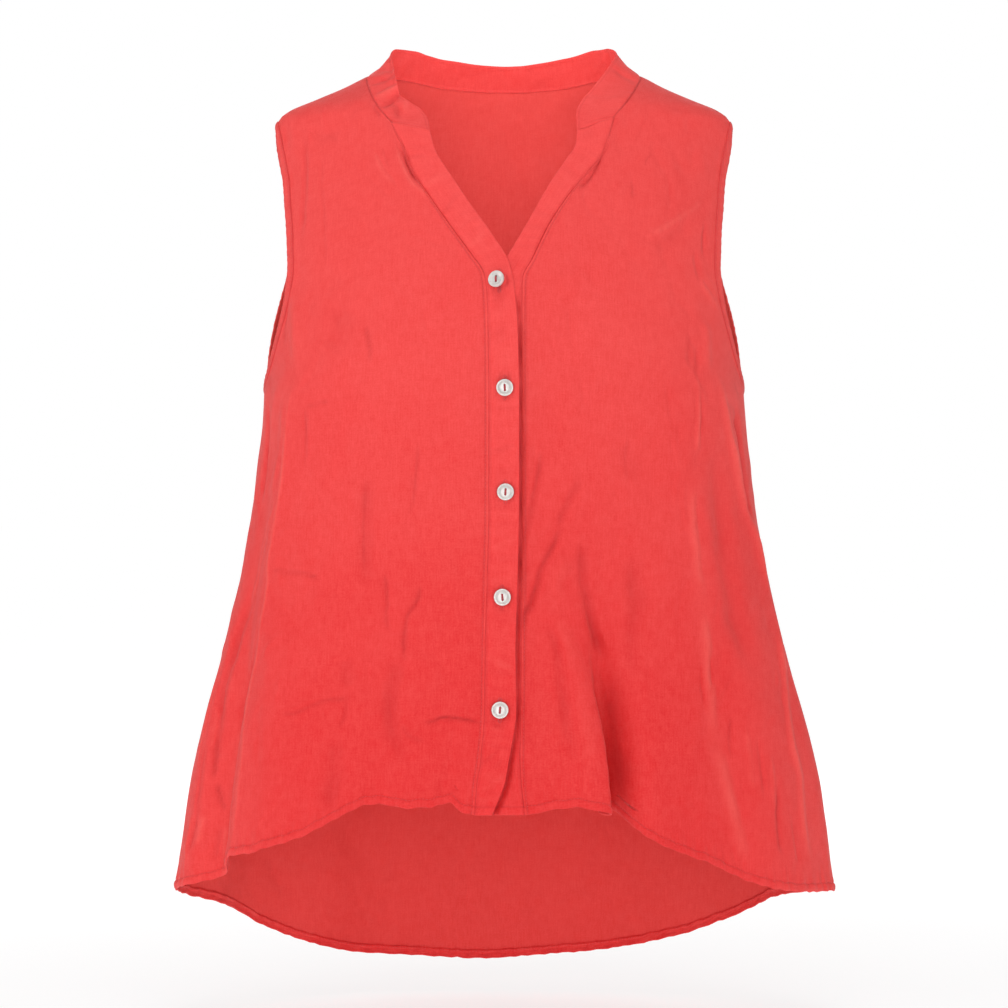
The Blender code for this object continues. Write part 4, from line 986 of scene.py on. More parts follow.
def panelSurface(domain, rise, behind, creaseList, seed, neckGap, underBand):
    # points, normals and measures of a panel with its creases, puckers and seam ditches, with painted shade
    # in its ditches and grooves
    points = bodyPoint(domain[..., 0], domain[..., 1], rise)
    normals = faceOut(points, gridNormals(points))
    flat = flatAcross(domain[..., 0], domain[..., 1], behind)
    height = domain[..., 1]
    fromStart = runAlong(points, 0)
    fromEnd = fromStart[-1:] - fromStart
    fromHem = runAlong(points, 1)
    fromTop = fromHem[:, -1:] - fromHem
    lift, wearAndPaintedLight = creaseLift(creaseList, flat, height, behind)
    lift += crumpleLift(flat, height, seed) + softWaves(flat, height, seed, 95, 1.0)
    calm = ramp(fromHem / 12) * ramp(fromTop / 10) * ramp(fromStart / 7) * ramp(fromEnd / 7)
    lift = lift * (0.25 + 0.75 * calm)
    hemWave = puckers(fromStart[:, 0], seed, panel["puckerPitch"], 0.6)[:, None]
    fade = bell(np.maximum(fromHem - panel["hemStitch"], 0), 7)
    lift += hemWave * panel["puckerHeight"] * fade * (0.45 + 0.55 * ramp(fromHem / 5))
    roll = np.sin(math.pi * np.clip(fromHem / panel["hemStitch"], 0, 1))
    lift += panel["hemRoll"] * roll * (0.75 + 0.25 * puckers(fromStart[:, 0], seed + 50, 60.0)[:, None])
    lift += ditch(fromHem - panel["hemStitch"], panel["seamWidth"], panel["seamDitch"])
    # painted shade along the hem's stitch line
    wearAndPaintedLight = wearAndPaintedLight - 0.30 * bell(fromHem - panel["hemStitch"], 0.8)
    # seam ditches, with painted shade along them
    for distance in (fromStart, fromEnd, fromTop):
        lift += ditch(distance, panel["seamWidth"], panel["seamDitch"])
        wearAndPaintedLight = wearAndPaintedLight - 0.65 * bell(distance, panel["seamWidth"])
    if neckGap:
        gap, gapWidth, rollHeight, rollAway, rollWidth = neckGap
        share = neckShare(height) * (0.8 + 0.2 * puckers(fromHem[0], seed + 60, 34.0)[None, :])
        lift += share * (ditch(fromStart, gapWidth, gap) + rollHeight * bell(fromStart - rollAway, rollWidth))
        # painted shade in the gap at the seam and along the band stitch, and a paler strip between them
        wearAndPaintedLight = wearAndPaintedLight - 0.55 * share * bell(fromStart, 1.3)
        lift += ditch(fromStart - panel["bandStitch"], 0.8, 0.45)
        wearAndPaintedLight = wearAndPaintedLight - 0.50 * bell(fromStart - panel["bandStitch"], 0.8)
        wearAndPaintedLight = wearAndPaintedLight + 0.30 * bell(fromStart - 0.5 * panel["bandStitch"], 0.7)
    if underBand:
        # the groove beside the upper band's free edge, with painted shade in it
        groove, shade = freeEdgeGroove(points[..., 0], points[..., 2])
        lift += groove
        wearAndPaintedLight = wearAndPaintedLight + shade
    # the inner face is drawn paler, and along its turned hem darker in speckles, painted shade where the
    # hem's layers hold back light
    speckle = np.random.default_rng(seed).uniform(0.1, 1.5, fromHem.shape)
    inside = 0.30 - 0.40 * speckle * ramp((cut["hemAllowance"] + 1.5 - fromHem) / 2.0)
    return points + normals * lift[..., None], flat, wearAndPaintedLight, inside, (fromStart, fromEnd, fromHem, fromTop)


def rounded(distance, reach):
    # quarter circle that rises from 0 at an edge to 1
    return np.sqrt(np.clip(1 - (1 - np.clip(distance / reach, 0, 1)) ** 2, 0, 1))


def edgeRound(distance, reach):
    return rounded(distance, reach) * 0.85 + 0.15


def panelPiece(name, node, domain, rise, behind, creaseList, seed, neckGap=None, underBand=False):
    points, flat, wearAndPaintedLight, inside, away = panelSurface(domain, rise, behind, creaseList, seed, neckGap, underBand)
    normals = faceOut(points, gridNormals(points))
    fromHem = away[2]
    half = panel["wall"] / 2
    # the turned cloth lies behind the cut line, so the edge rounds inwards
    edgeShape = 0.25 + 0.75 * rounded(fromHem, 0.9)
    hem = ramp((cut["hemAllowance"] + 0.35 - fromHem) / 0.7)
    inward = (half + panel["hemFold"] * hem) * edgeShape
    vertical = fromHem + (domain[:, hemRows + 40, 1] - fromHem[:, hemRows + 40])[:, None]
    measured = np.stack([flat, vertical], axis=-1)
    piece = clothShell(name, points, normals, half * edgeShape, inward, measured, panelCloth, wearAndPaintedLight,
                       insidePaleAndShade=inside)
    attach(piece, "root")
    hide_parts(node)
    return piece, points, normals, away


acrossRight = sharesAcross(168)
acrossLeft = sharesAcross(168)
acrossBack = sharesAcross(166, near=(0.0, 0.0008, 0.0019, 0.0033, 0.005, 0.0072, 0.010, 0.014))

rightDomain = frontDomain(-1, upperBandCut, frontNeckRight, hemRight, acrossRight) * (-1, 1)
leftDomain = frontDomain(1, lowerBandCut, frontNeckLeft, hemLeft, acrossLeft)
behindDomain = backDomain(acrossBack)

frontRight, rightPoints, rightNormals, rightAway = panelPiece(
    "front_right_cloth", "front_right", rightDomain, body["overlapRise"], False, creases["frontRight"], 1,
    panel["neckGap"]["frontRight"])
frontLeft, leftPoints, leftNormals, leftAway = panelPiece(
    "front_left_cloth", "front_left", leftDomain, 0.0, False, creases["frontLeft"], 2,
    panel["neckGap"]["frontLeft"], underBand=True)
backPiece, backPoints, backNormals, backAway = panelPiece(
    "back_cloth", "back", behindDomain, 0.0, True, creases["back"], 3)
print("panels made")


buttonLooks = {
    "radius": 7.1,
    "thick": 2.6,
    "dish": 0.75,
    "rim": 1.5,
    "holeRadius": 1.0,
    "holeSpacing": 4.3,
    "gap": 0.35,
    "threadRadius": 0.42,
    "threadOffsets": (-0.36, 0.0, 0.36),      # how far the turns of thread lie beside each other
    # across, up, lean of the face and turn of its holes in degrees
    "places": [(-4.0, -186, 26, 0), (0.6, -276, 0, 4), (1.2, -363, 0, -3), (-1.4, -451, 0, 6),
               (-3.4, -545, 0, -5)],
}


bands = {
    "wall": 1.3,
    "columns": (0, 0.25, 0.7, 1.3, 2.0, 2.8, 3.8, 5.2),     # mm in from an edge
    "middle": 7,
    "lift": 0.45,
    "overlap": 0.9,           # how far an upper layer lies over the next one at a seam
    "stitchLine": 2.2,        # mm in from the seam
    "curl": 1.6,              # how far the free edge lifts
    "buttonRing": (7.2, 1.0),     # radius and half width of the ring where a button presses the band in, darkened by painted shade
    # creases on the upper band: from across and up to across and up, half width, height
    "creases": [
        (-14, -555, 3, -560, 1.4, -0.9), (-13, -449, 8, -452, 2.0, -0.5), (-10, -330, 9, -324, 2.4, -0.4),
        (-12, -500, 6, -512, 2.6, 0.5), (-20, -590, -4, -578, 2.2, -0.8), (-16, -610, 0, -600, 2.6, 0.7),
        (-52, -128, -40, -112, 2.2, -0.7), (-68, -104, -52, -92, 2.4, 0.7), (-84, -78, -66, -74, 2.2, -0.8),
        (-30, -160, -18, -146, 2.4, 0.5), (-12, -232, 8, -228, 2.0, -0.4), (-10, -410, 9, -402, 2.2, 0.4),
    ],
}


def bandShares(width):
    # shares across a band whose rows crowd towards both edges
    near = np.array(bands["columns"]) / width
    middle = np.linspace(near[-1], 1 - near[-1], bands["middle"] + 2)[1:-1]
    return np.concatenate([near, middle, 1 - near[::-1]])


def addCreases(lift, wearAndPaintedLight, across, up, rows, gain, wearAndLightGain):
    # short straight creases, each from across and up to across and up, with half width and height;
    # ridges drawn paler and furrows darker, painted light and shade
    for x1, z1, x2, z2, width, deep in rows:
        step = math.hypot(x2 - x1, z2 - z1)
        run = ((x2 - x1) / step, (z2 - z1) / step)
        t = np.clip((across - x1) * run[0] + (up - z1) * run[1], 0, step)
        off = np.hypot(across - x1 - t * run[0], up - z1 - t * run[1])
        crease = bell(off, width) * np.clip(np.sin(math.pi * (0.12 + 0.76 * t / step)), 0, 1)
        lift += gain * deep * crease
        wearAndPaintedLight += wearAndLightGain * np.sign(deep) * crease


def bandPiece(name, node, band, rise, seed, neckGap):
    share = bandShares(25.0)[:, None] * (1 + bands["overlap"] / 25)
    seamX, seamZ, edgeX, edgeZ = [bandColumn(band, k)[None] for k in (1, 2, 3, 4)]
    x = edgeX * (1 - share) + seamX * share
    z = edgeZ * (1 - share) + seamZ * share
    points = bodyPoint(turnOf(x, z), z, rise)
    normals = faceOut(points, gridNormals(points))
    across, along = runAlong(points, 0), runAlong(points, 1)
    fromSeam = across[-1:] - across
    fromTop = along[:, -1:] - along
    lift = bands["lift"] + 0 * across
    lift += crumpleLift(across, along, seed) * 0.8
    wave = puckers(along[0], seed, 13.0, 0.6)[None, :]
    lift += 0.30 * wave * (bell(across, 8) + bell(fromSeam, 8))
    # painted light and shade on the puckers: paler on their crests, darker in their troughs
    wearAndPaintedLight = 0.10 * wave * bell(across - fromSeam, 22)
    lift += ditch(along - panel["hemStitch"], 0.9, 0.3)
    # painted shade along the hem stitch
    wearAndPaintedLight = wearAndPaintedLight - 0.30 * bell(along - panel["hemStitch"], 0.9)
    # the seam pulls the band down to the panel, most of all along the V, and painted shade darkens it
    gap, gapWidth = neckGap[:2]
    gape = neckShare(z) * (0.8 + 0.2 * puckers(along[0], seed + 60, 34.0)[None, :])
    lift += ditch(fromSeam, 1.1, panel["seamDitch"]) + gape * ditch(fromSeam, gapWidth, gap)
    wearAndPaintedLight = wearAndPaintedLight - (0.60 + 0.4 * gape) * bell(fromSeam, 1.2)
    # the seam's layers end in a faint line just inside it, darkened with painted shade
    lift += ditch(fromSeam - bands["stitchLine"], 0.7, 0.22)
    wearAndPaintedLight = wearAndPaintedLight - 0.14 * bell(fromSeam - bands["stitchLine"], 0.6)
    if rise:
        # free edge of the upper band curls away from the front under it
        curl = (0.55 + 0.45 * puckers(along[0], seed + 70, 58.0)[None, :]) * ramp((-190 - z) / 20)
        lift += bands["curl"] * curl * bell(across, 5.5) * (1 + 0.8 * ramp((-560 - z) / 50))
    else:
        groove, shade = freeEdgeGroove(points[..., 0], points[..., 2])
        lift += groove
        wearAndPaintedLight = wearAndPaintedLight + shade
    if rise:
        # creases drawn paler on ridges and darker in furrows, painted light and shade
        addCreases(lift, wearAndPaintedLight, x, z, bands["creases"], 1.0, 0.2)
        radius, width = bands["buttonRing"]
        for spotX, spotZ, *_ in buttonLooks["places"]:
            ring = bell(np.hypot(x - spotX, z - spotZ) - radius, width)
            # the band is pressed in round each button and darkened there, a painted contact shadow
            lift -= 0.4 * ring
            wearAndPaintedLight -= 0.6 * ring
    points = points + normals * lift[..., None]
    normals = faceOut(points, gridNormals(points))
    half = bands["wall"] / 2
    shape = np.minimum(edgeRound(across, 0.7), edgeRound(fromSeam, 0.7))
    shape = np.minimum(shape, np.minimum(edgeRound(along, 0.7), edgeRound(fromTop, 0.6)))
    measured = np.stack([across, along], axis=-1)
    piece = clothShell(name, points, normals, half * shape, half * shape, measured, bandCloth, wearAndPaintedLight)
    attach(piece, "root")
    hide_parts(node)
    return piece, points


upperBand, upperPoints = bandPiece(
    "front_band_right_cloth", "front_band_right", upperBandCut, body["overlapRise"], 11,
    panel["neckGap"]["frontRight"])
lowerBand, lowerPoints = bandPiece(
    "front_band_left_cloth", "front_band_left", lowerBandCut, 0.0, 12, panel["neckGap"]["frontLeft"])
print("front bands made")


collarLooks = {
    "wall": 1.3,
    "stitchLine": 2.0,        # mm up from its lower edge
    "creaseGain": 1.6,
    # creases in the stand: along from the right front end and up from the seam in mm, half width, height
    "creases": [
        (30, 6, 52, 26, 3.0, -2.4), (14, 12, 34, 19, 2.4, -1.8), (46, 4, 62, 30, 3.0, 1.6),
        (22, 22, 40, 28, 2.2, 1.0), (70, 8, 74, 26, 3.4, -1.1), (120, 6, 150, 22, 5.0, -0.6),
        (200, 10, 240, 24, 6.0, 0.5), (262, 6, 296, 20, 5.0, -0.6), (330, 8, 352, 24, 3.0, -1.0),
        (352, 6, 360, 26, 3.0, 1.0), (366, 4, 380, 20, 2.4, -1.0),
    ],
}


def collarPiece():
    lower = np.concatenate([rightPoints[:, -1], backPoints[1:-1, -1], leftPoints[::-1, -1]])
    under = np.concatenate([rightPoints[:, -3], backPoints[1:-1, -3], leftPoints[::-1, -3]])
    facing = np.concatenate([rightNormals[:, -3], backNormals[1:-1, -3], leftNormals[::-1, -3]])
    ahead = cut["collarShoulderShare"]
    along01 = np.concatenate([acrossRight * ahead, ahead + (1 - 2 * ahead) * acrossBack[1:-1],
                              1 - acrossLeft[::-1] * ahead])
    upper = np.stack([smoothLine(collarTop[:, 0], collarTop[:, k], along01) for k in (1, 2, 3)], axis=1)
    share = bandShares(30.0)[None, :, None]
    points = lower[:, None] * (1 - share) + upper[:, None] * share
    for row, end in ((0, upperPoints[:, -1]), (-1, lowerPoints[:, -1])):
        points[row] = end[::-1]
    skirt = lower + unit(under - lower) * bands["overlap"] + facing * 0.4
    points = np.concatenate([skirt[:, None], points], axis=1)
    normals = faceOut(points, gridNormals(points))
    along, up = runAlong(points, 0), runAlong(points, 1)
    fromEnd, fromTop = along[-1:] - along, up[:, -1:] - up
    middleRun = np.mean(along, axis=1)[:, None] + 0 * up
    lift = 0.3 + crumpleLift(middleRun, up, 21) * 2.0
    # painted shade along the seam at the lower edge and along the stitch line
    wearAndPaintedLight = -0.5 * bell(np.maximum(up - 1.2, 0), 1.2) - 0.2 * bell(fromTop - 2.4, 0.7)
    lift += ditch(up - 1.4, 1.3, 0.6) + ditch(fromTop - 2.4, 0.8, 0.25)
    addCreases(lift, wearAndPaintedLight, middleRun, up, collarLooks["creases"], collarLooks["creaseGain"], 0.35)
    lift += 0.14 * puckers(middleRun[:, 0], 22, 9.0)[:, None] * bell(up, 6)
    points = points + normals * (lift * ramp(along / 3) * ramp(fromEnd / 3))[..., None]
    normals = faceOut(points, gridNormals(points))
    half = collarLooks["wall"] / 2
    shape = np.minimum(edgeRound(up, 0.7), edgeRound(fromTop, 0.8))
    shape = np.minimum(shape, np.minimum(edgeRound(along, 0.6), edgeRound(fromEnd, 0.6)))
    measured = np.stack([middleRun, up], axis=-1)
    piece = clothShell("collar_cloth", points, normals, half * shape, half * shape, measured, bandCloth, wearAndPaintedLight)
    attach(piece, "root")
    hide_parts("collar")
    return piece, points, normals


collar, collarPoints, collarNormals = collarPiece()
print("collar made")


binding = {
    "wall": 1.5,
    "marksPerStep": 8,
    "lift": 0.5,
    "stitchLine": 1.6,        # mm in from the seam
    "columns": (0, 0.3, 0.8, 1.5, 2.4, 3.4, 4.4, 5.2, 5.9, 6.5, 7.0, 7.4),
}


def bindingPiece(name, node, sign, seed):
    total = len(armholeEdge)
    marks = np.linspace(0, total, total * binding["marksPerStep"] + 1)[:-1]
    edge, seam = armholeLoop(marks, cut["armholeWidth"] + bands["overlap"])
    share = (np.array(binding["columns"]) / binding["columns"][-1])[None, :, None]
    level = seam[:, None] * (1 - share) + edge[:, None] * share
    domain = np.stack([sideTurn(level[..., 0], level[..., 1]), level[..., 1]], axis=-1)
    points = bodyPoint(sign * domain[..., 0], domain[..., 1])
    normals = faceOut(points, gridNormals(points, closed=True))
    across, along = runAlong(points, 1), runAlong(points, 0)
    fromEdge = across[:, -1:] - across
    wave = puckers(along[:, 0], seed, 8.0)[:, None]
    lift = binding["lift"] * (0.3 + 0.7 * ramp(fromEdge / 4)) + 0.30 * wave * ramp(across / 3)
    lift += ditch(across, 1.2, 0.5) + ditch(across - 1.7, 0.7, 0.25)
    # painted shade along the seam and the stitch line
    wearAndPaintedLight = -0.55 * bell(across, 1.2) - 0.25 * bell(across - 1.7, 0.7)
    points = points + normals * lift[..., None]
    normals = faceOut(points, gridNormals(points, closed=True))
    half = binding["wall"] / 2
    shape = np.minimum(edgeRound(across, 0.6), edgeRound(fromEdge, 0.9))
    measured = np.stack([across, along], axis=-1)
    piece = clothShell(name, points, normals, half * shape, half * shape, measured, biasCloth, wearAndPaintedLight,
                       closed=True, insidePaleAndShade=0 * across + 0.8)
    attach(piece, "root")
    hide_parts(node)
    return piece, points, normals


bindingRight, bindingRightPoints, bindingRightNormals = bindingPiece(
    "armhole_binding_right_cloth", "armhole_binding_right", -1, 31)
bindingLeft, bindingLeftPoints, bindingLeftNormals = bindingPiece(
    "armhole_binding_left_cloth", "armhole_binding_left", 1, 32)
print("armhole bindings made")


stitch = {
    "length": 2.3,
    "gap": 0.75,
    "thick": 0.34,
    "sink": 0.06,
    "sides": 5,
    # along one stitch: share of its length, share of its thickness, how far it dives in or stands out
    "profile": ((0.0, 0.35, -0.8), (0.12, 0.85, -0.1), (0.5, 1.0, 0.15), (0.88, 0.85, -0.1),
                (1.0, 0.35, -0.8)),
}


def addTube(verts, faces, centres, radii, sideways, outward, sides):
    # a round tube through the centres, closed at both ends
    first = len(verts)
    last = first + (len(centres) - 1) * sides
    for k, centre in enumerate(centres):
        for s in range(sides):
            angle = 2 * math.pi * s / sides
            verts.append(centre + radii[k] * (math.cos(angle) * sideways[k] + math.sin(angle) * outward[k]))
    for ring in range(first, last, sides):
        for s in range(sides):
            a, b = ring + s, ring + (s + 1) % sides
            faces.append((a, b, b + sides, a + sides))
    faces.append(tuple(first + s for s in reversed(range(sides))))
    faces.append(tuple(last + s for s in range(sides)))


def threadMesh(name, verts, faces, thread, place=None):
    mesh = bpy.data.meshes.new(name)
    mesh.from_pydata([tuple(v * mm) for v in verts], [], faces)
    mesh.validate()
    work = bmesh.new()
    work.from_mesh(mesh)
    bmesh.ops.recalc_face_normals(work, faces=work.faces)
    work.to_mesh(mesh)
    work.free()
    if place is not None:
        mesh.transform(place)
    mesh.shade_smooth()
    mesh.materials.append(thread)
    piece = bpy.data.objects.new(name, mesh)
    bpy.context.scene.collection.objects.link(piece)
    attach(piece, "root")
    return piece


def stitchMesh(name, runs, thread, settings=None):
    # one mesh of short rounded stitches, on runs given as (points, normals, lift, whether it closes)
    look = dict(stitch, **(settings or {}))
    shares, sizes, drops = np.array(look["profile"]).T
    verts, faces = [], []
    for points, normals, lift, closed in runs:
        if closed:
            points = np.concatenate([points, points[:1]])
            normals = np.concatenate([normals, normals[:1]])
        steps = np.linalg.norm(np.diff(points, axis=0), axis=1)
        run = np.concatenate([[0], np.cumsum(steps)])
        count = max(int(run[-1] / (look["length"] + look["gap"])), 1)
        for n in range(count):
            begin = (n + 0.5) * run[-1] / count - look["length"] / 2
            stops = begin + look["length"] * shares
            centre = np.stack([np.interp(stops, run, points[:, k]) for k in range(3)], axis=1)
            outward = unit(np.stack([np.interp(stops, run, normals[:, k]) for k in range(3)], axis=1))
            sideways = unit(np.cross(outward, unit(centre[-1] - centre[0])))
            spots = centre + outward * (lift - look["sink"] + drops * look["thick"] / 2)[:, None]
            addTube(verts, faces, spots, look["thick"] / 2 * sizes, sideways, outward, look["sides"])
    print("stitching %s: %d faces" % (name, len(faces)))
    return threadMesh(name, verts, faces, thread)


def rowAt(points, normals, distance, target, axis):
    # line of points on a grid where a distance measured along one way reaches the target
    if axis == 0:
        points, normals, distance = [np.swapaxes(a, 0, 1) for a in (points, normals, distance)]
    line, facing = [], []
    for i in range(len(points)):
        order = np.argsort(distance[i])
        line.append([np.interp(target, distance[i][order], points[i][order, k]) for k in range(3)])
        facing.append([np.interp(target, distance[i][order], normals[i][order, k]) for k in range(3)])
    return np.array(line), unit(np.array(facing))


outside = panel["wall"] / 2
hemRun = {}
for key, points, normals, away in (("right", rightPoints, rightNormals, rightAway),
                                   ("left", leftPoints, leftNormals, leftAway),
                                   ("back", backPoints, backNormals, backAway)):
    hemRun[key] = rowAt(points, normals, away[2], panel["hemStitch"], 1)
inside = outside + panel["hemFold"]
hemStitching = {
    key: stitchMesh("hem_stitching_" + key,
                    [(line, facing, outside, False), (line, -facing, inside, False)], seamThread)
    for key, (line, facing) in hemRun.items()
}
bandSide = {}
for key, points, normals, away in (("right", rightPoints, rightNormals, rightAway),
                                   ("left", leftPoints, leftNormals, leftAway)):
    bandSide[key] = rowAt(points, normals, away[0], panel["bandStitch"], 0)
bandStitching = {
    key: stitchMesh("band_stitching_" + key, [(line, facing, outside, False)], seamThread)
    for key, (line, facing) in bandSide.items()
}
line, facing = rowAt(collarPoints, collarNormals, runAlong(collarPoints, 1), collarLooks["stitchLine"], 1)
half = collarLooks["wall"] / 2
collarStitching = stitchMesh("collar_stitching", [(line, facing, half, False), (line, -facing, half, False)],
                             seamThread)
for key, points, normals in (("right", bindingRightPoints, bindingRightNormals),
                             ("left", bindingLeftPoints, bindingLeftNormals)):
    line, facing = rowAt(points, normals, runAlong(points, 1), binding["stitchLine"], 1)
    stitchMesh("armhole_stitching_" + key,
                                       [(line, facing, binding["wall"] / 2, True)], seamThread)
print("topstitching made")


def selectFaces(mesh, test):
    for face in mesh.faces:
        face.select_set(test(face))
    mesh.select_flush_mode()


def turnedButton():
    # a shell blank turned with a raised rim and a shallow dish, drilled with two holes
    look = buttonLooks
    bpy.ops.object.select_all(action="DESELECT")
    bpy.ops.mesh.primitive_cylinder_add(vertices=64, radius=look["radius"] * mm, depth=look["thick"] * mm,
                                        location=(0, 0, look["thick"] * mm / 2))
    button = bpy.context.active_object
    bpy.ops.object.transform_apply(location=True, rotation=True, scale=True)
    bpy.ops.object.mode_set(mode="EDIT")
    bpy.ops.mesh.select_mode(type="FACE")

    def pick(side):
        work = bmesh.from_edit_mesh(button.data)
        selectFaces(work, lambda face: face.normal.z * side > 0.9 and len(face.verts) > 10)
        bmesh.update_edit_mesh(button.data)

    pick(1)
    bpy.ops.mesh.inset(thickness=look["rim"] * mm, depth=0)
    bpy.ops.mesh.inset(thickness=0.9 * mm, depth=-look["dish"] * 0.8 * mm)
    bpy.ops.mesh.inset(thickness=1.2 * mm, depth=-look["dish"] * 0.2 * mm)
    pick(-1)
    bpy.ops.mesh.inset(thickness=1.4 * mm, depth=0.5 * mm)
    bpy.ops.object.mode_set(mode="OBJECT")
    bevel = button.modifiers.new("turned edges", "BEVEL")
    bevel.width = 0.55 * mm
    bevel.segments = 4
    bevel.limit_method = "ANGLE"
    bevel.angle_limit = math.radians(25)
    bpy.ops.object.modifier_apply(modifier=bevel.name)
    for side in (-1, 1):
        bpy.ops.object.select_all(action="DESELECT")
        bpy.ops.mesh.primitive_cylinder_add(vertices=24, radius=look["holeRadius"] * mm, depth=12 * mm,
                                            location=(0, side * look["holeSpacing"] / 2 * mm, 0))
        drill = bpy.context.active_object
        drilling = button.modifiers.new("hole", "BOOLEAN")
        drilling.operation = "DIFFERENCE"
        drilling.solver = "EXACT"
        drilling.object = drill
        bpy.context.view_layer.objects.active = button
        bpy.ops.object.modifier_apply(modifier=drilling.name)
        bpy.data.objects.remove(drill, do_unlink=True)
    bpy.ops.object.select_all(action="DESELECT")
    button.select_set(True)
    bpy.context.view_layer.objects.active = button
    bpy.ops.object.shade_smooth_by_angle(angle=math.radians(35))
    button.data.materials.clear()
    button.data.materials.append(pearlShell)
    return button


def buttonFrame(across, up, lean):
    turned = float(turnOf(across, up))
    rise = body["overlapRise"]
    here = bodyPoint(turned, up, rise)
    right = unit(bodyPoint(float(turnOf(across + 2.0, up)), up, rise) - here)
    above = unit(bodyPoint(turned, up + 2.0, rise) - here)
    outward = unit(np.cross(right, above))
    tilt = math.radians(lean)
    outward = unit(outward * math.cos(tilt) - right * math.sin(tilt))
    above = unit(above - outward * np.dot(above, outward))
    right = np.cross(above, outward)
    seat = (bands["lift"] + bands["wall"] / 2 + buttonLooks["gap"]
            + buttonLooks["radius"] * math.sin(abs(tilt)))
    base = here + outward * seat
    return Matrix([[right[k], above[k], outward[k], base[k] * mm] for k in range(3)] + [[0, 0, 0, 1]]), seat


def threadBar(name, place, seat):
    # several turns of thread through both holes, down into the band
    look = buttonLooks
    top = look["thick"] - look["dish"] + 0.15
    reach = look["holeSpacing"] / 2
    marks = np.linspace(0, 1, 19)
    verts, faces = [], []
    for offset in look["threadOffsets"]:
        half = [(offset * 0.5, -reach, -seat + 0.2), (offset, -reach, top - 0.4),
                (offset * 1.2, -reach * 0.55, top + 0.22)]
        path = half + [(offset * 1.3, 0, top + 0.32)] + [(x, -y, z) for x, y, z in reversed(half)]
        path = np.array(path, float)
        spaced = np.linspace(0, 1, len(path))
        path = np.stack([smoothLine(spaced, path[:, k], marks) for k in range(3)], axis=1)
        sideways = np.tile(np.array([1.0, 0.0, 0.0]), (len(path), 1))
        outward = np.cross(unit(np.gradient(path, axis=0)), sideways)
        addTube(verts, faces, path, [look["threadRadius"]] * len(path), sideways, outward, 6)
    return threadMesh(name, verts, faces, buttonThread, place)


buttonhole = {"half": 9.3, "slot": 0.55, "across": 1.5, "pitch": 0.42, "thick": 0.36}


def buttonholePiece(name, across, up):
    # dense satin stitches closed round the line of a buttonhole, worked up and down the band under its button
    look = buttonhole
    straight, bend = 2 * look["half"], math.pi * look["slot"]
    count = int((2 * straight + 2 * bend) / look["pitch"])
    level = bands["lift"] + bands["wall"] / 2
    rise = body["overlapRise"]
    way = (np.arange(count) + 0.5) / count * 2 * (straight + bend)
    second = way >= straight + bend
    way = np.where(second, way - straight - bend, way)
    angle = np.maximum(way - straight, 0) / look["slot"]
    out = np.stack([np.cos(angle), np.sin(angle)], axis=1)
    spot = np.stack([look["slot"] * out[:, 0],
                     np.minimum(way - look["half"], look["half"]) + look["slot"] * out[:, 1]], axis=1)
    out[second] *= -1
    spot[second] *= -1
    reach = np.array([-0.2, look["across"] - 0.2])[None, :, None]
    stitchEnds = np.array([across, up]) + spot[:, None] + out[:, None] * reach
    here = bodyPoint(turnOf(stitchEnds[..., 0], stitchEnds[..., 1]), stitchEnds[..., 1], rise)
    side = bodyPoint(turnOf(across + np.array([-3.0, 3.0]), up), up, rise)
    tall = bodyPoint(turnOf(across, up + np.array([-3.0, 3.0])), up + np.array([-3.0, 3.0]), rise)
    facing = unit(np.cross(side[1] - side[0], tall[1] - tall[0]))
    runs = [(ends, np.tile(facing, (2, 1)), level, False) for ends in here]
    return stitchMesh(name, runs, buttonholeThread,
                      {"length": look["across"], "gap": -0.2, "thick": look["thick"]})


master = turnedButton()
buttonPieces = []
for number, (across, up, lean, turn) in enumerate(buttonLooks["places"], 1):
    place, seat = buttonFrame(across, up, lean)
    place = place @ Matrix.Rotation(math.radians(turn), 4, "Z")
    piece = master.copy()
    piece.data = master.data.copy()
    piece.name = "button_%d_shell" % number
    piece.data.transform(place)
    bpy.context.scene.collection.objects.link(piece)
    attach(piece, "root")
    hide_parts("button_%d" % number)
    thread = threadBar("button_%d_thread" % number, place, seat)
    buttonPieces += [piece, thread, buttonholePiece("buttonhole_%d" % number, across, up)]
bpy.data.objects.remove(master, do_unlink=True)
print("buttons made")


studio = {
    "floorGap": 0.030,        # m between the lowest point of the hem and the floor
    "floorSize": 400.0,
    "floorSeen": (0.74, 0.93),        # near and far glow as the camera sees it; lower near the shirt, a painted shadow
    "floorGlow": 0.45,
    "ambient": 0.25,
    "backdrop": 1.0,
    "lights": [
        # name, place, aim, size, watts
        ("key", (-1.8, -2.2, 0.9), (0, 0, -0.40), 1.0, 12.0),
        ("front", (0.0, -3.3, -0.1), (0, 0, -0.45), 1.2, 30.0),
        ("top", (0.05, -0.8, 1.9), (0, 0, -0.25), 1.0, 22.0),
        ("side left", (-2.6, -0.6, 0.2), (0, 0, -0.45), 1.4, 18.0),
        ("side right", (2.4, -0.9, 0.6), (0, 0, -0.30), 1.4, 15.0),
        ("back", (0.0, 2.4, 0.5), (0, 0, -0.40), 2.0, 24.0),
        ("inside the neck", (0.0, -0.060, -0.050), (0, 0.1, -0.050), 0.11, 0.125),
    ],
}
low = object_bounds()[0]
bpy.ops.object.select_all(action="DESELECT")
bpy.ops.mesh.primitive_plane_add(size=studio["floorSize"], location=(0, 0, low[2] - studio["floorGap"]))
floor = bpy.context.active_object
floor.name = "floor"
paper, tree = newMaterial("matt white paper sweep")
grainPlace = addNode(tree, "TexCoord").outputs["Object"]
tint = mixColor(tree, noise(tree, grainPlace, 400.0), hexColor("#fdfdfd"), hexColor("#fafafa"))
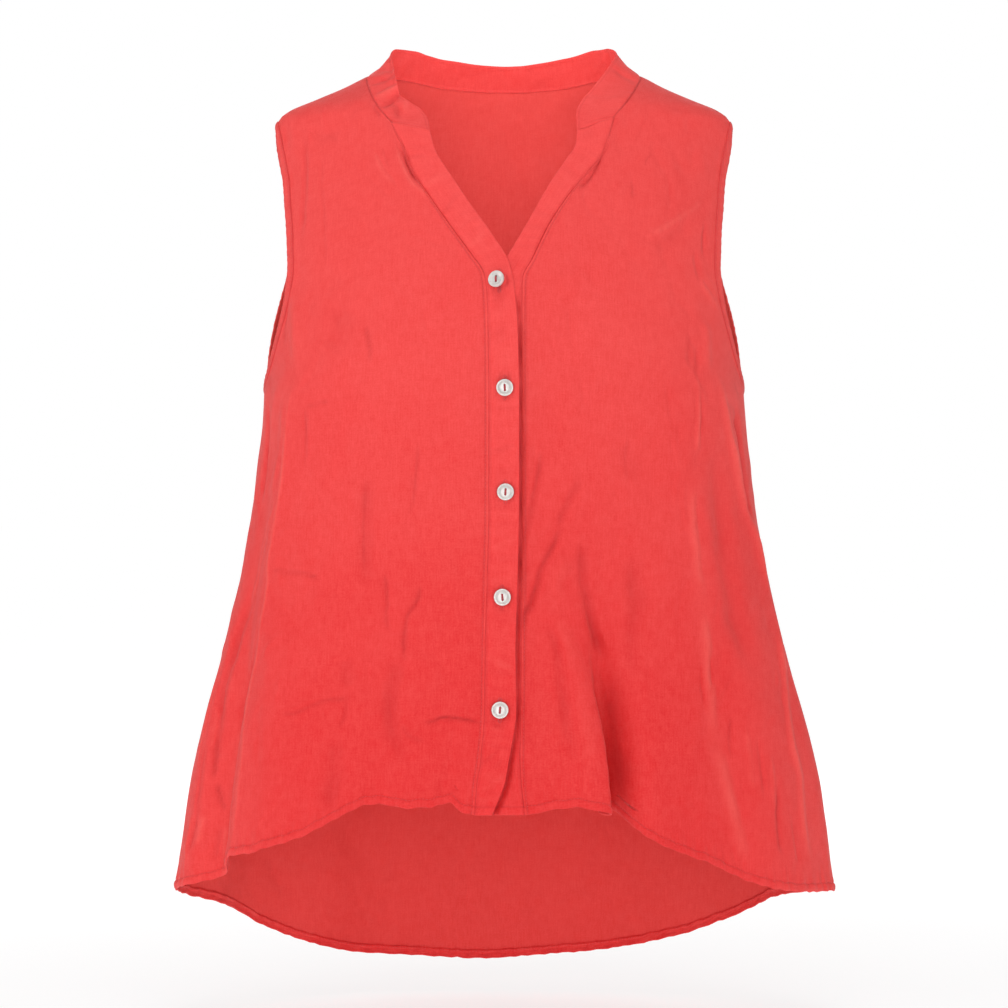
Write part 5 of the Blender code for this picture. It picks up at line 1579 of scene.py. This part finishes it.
paperShader = addNode(tree, "BsdfPrincipled", {
    "Base Color": tint, "Roughness": 0.9, "Specular IOR Level": 0.1, "Emission Color": (1, 1, 1, 1),
    "Emission Strength": studio["floorGlow"]})
# the sweep glows evenly to white far out, and a little less right under the shirt, a painted shadow where the
# shirt's shadow falls
paperAway = addNode(tree, "VectorMath", {0: grainPlace}, operation="LENGTH").outputs["Value"]
paperGlowWithPaintedShadow = mapped(tree, paperAway, 0.2, 2.4, *studio["floorSeen"], easing="SMOOTHSTEP")
paperSeen = addNode(tree, "BsdfPrincipled", {
    "Base Color": (0.25, 0.25, 0.25, 1), "Roughness": 0.9, "Specular IOR Level": 0.1,
    "Emission Color": (1, 1, 1, 1), "Emission Strength": paperGlowWithPaintedShadow})
cameraRay = addNode(tree, "LightPath").outputs["Is Camera Ray"]
paperMix = addNode(tree, "MixShader", {0: cameraRay, 1: paperShader.outputs[0], 2: paperSeen.outputs[0]})
addNode(tree, "OutputMaterial", {"Surface": paperMix.outputs[0]})
floor.data.materials.append(paper)

for name, place, target, size, watts in studio["lights"]:
    lamp = bpy.data.lights.new(name, "AREA")
    lamp.shape = "SQUARE"
    lamp.size = size
    lamp.energy = watts
    lampObject = bpy.data.objects.new(name, lamp)
    lampObject.location = place
    lampObject.visible_camera = False
    aim = Vector(target) - Vector(place)
    lampObject.rotation_euler = aim.to_track_quat("-Z", "Y").to_euler()
    bpy.context.scene.collection.objects.link(lampObject)

world = bpy.data.worlds.new("studio")
world.use_nodes = True
bpy.context.scene.world = world
tree = world.node_tree
tree.nodes.clear()
cameraRay = addNode(tree, "LightPath").outputs["Is Camera Ray"]
soft = addNode(tree, "Background", {"Color": (1, 1, 1, 1), "Strength": studio["ambient"]})
white = addNode(tree, "Background", {"Color": (1, 1, 1, 1), "Strength": studio["backdrop"]})
mixed = addNode(tree, "MixShader", {0: cameraRay, 1: soft.outputs[0], 2: white.outputs[0]})
addNode(tree, "OutputWorld", {"Surface": mixed.outputs[0]})
bpy.context.scene.view_settings.view_transform = "Standard"
bpy.context.scene.view_settings.look = "None"
print("studio made")
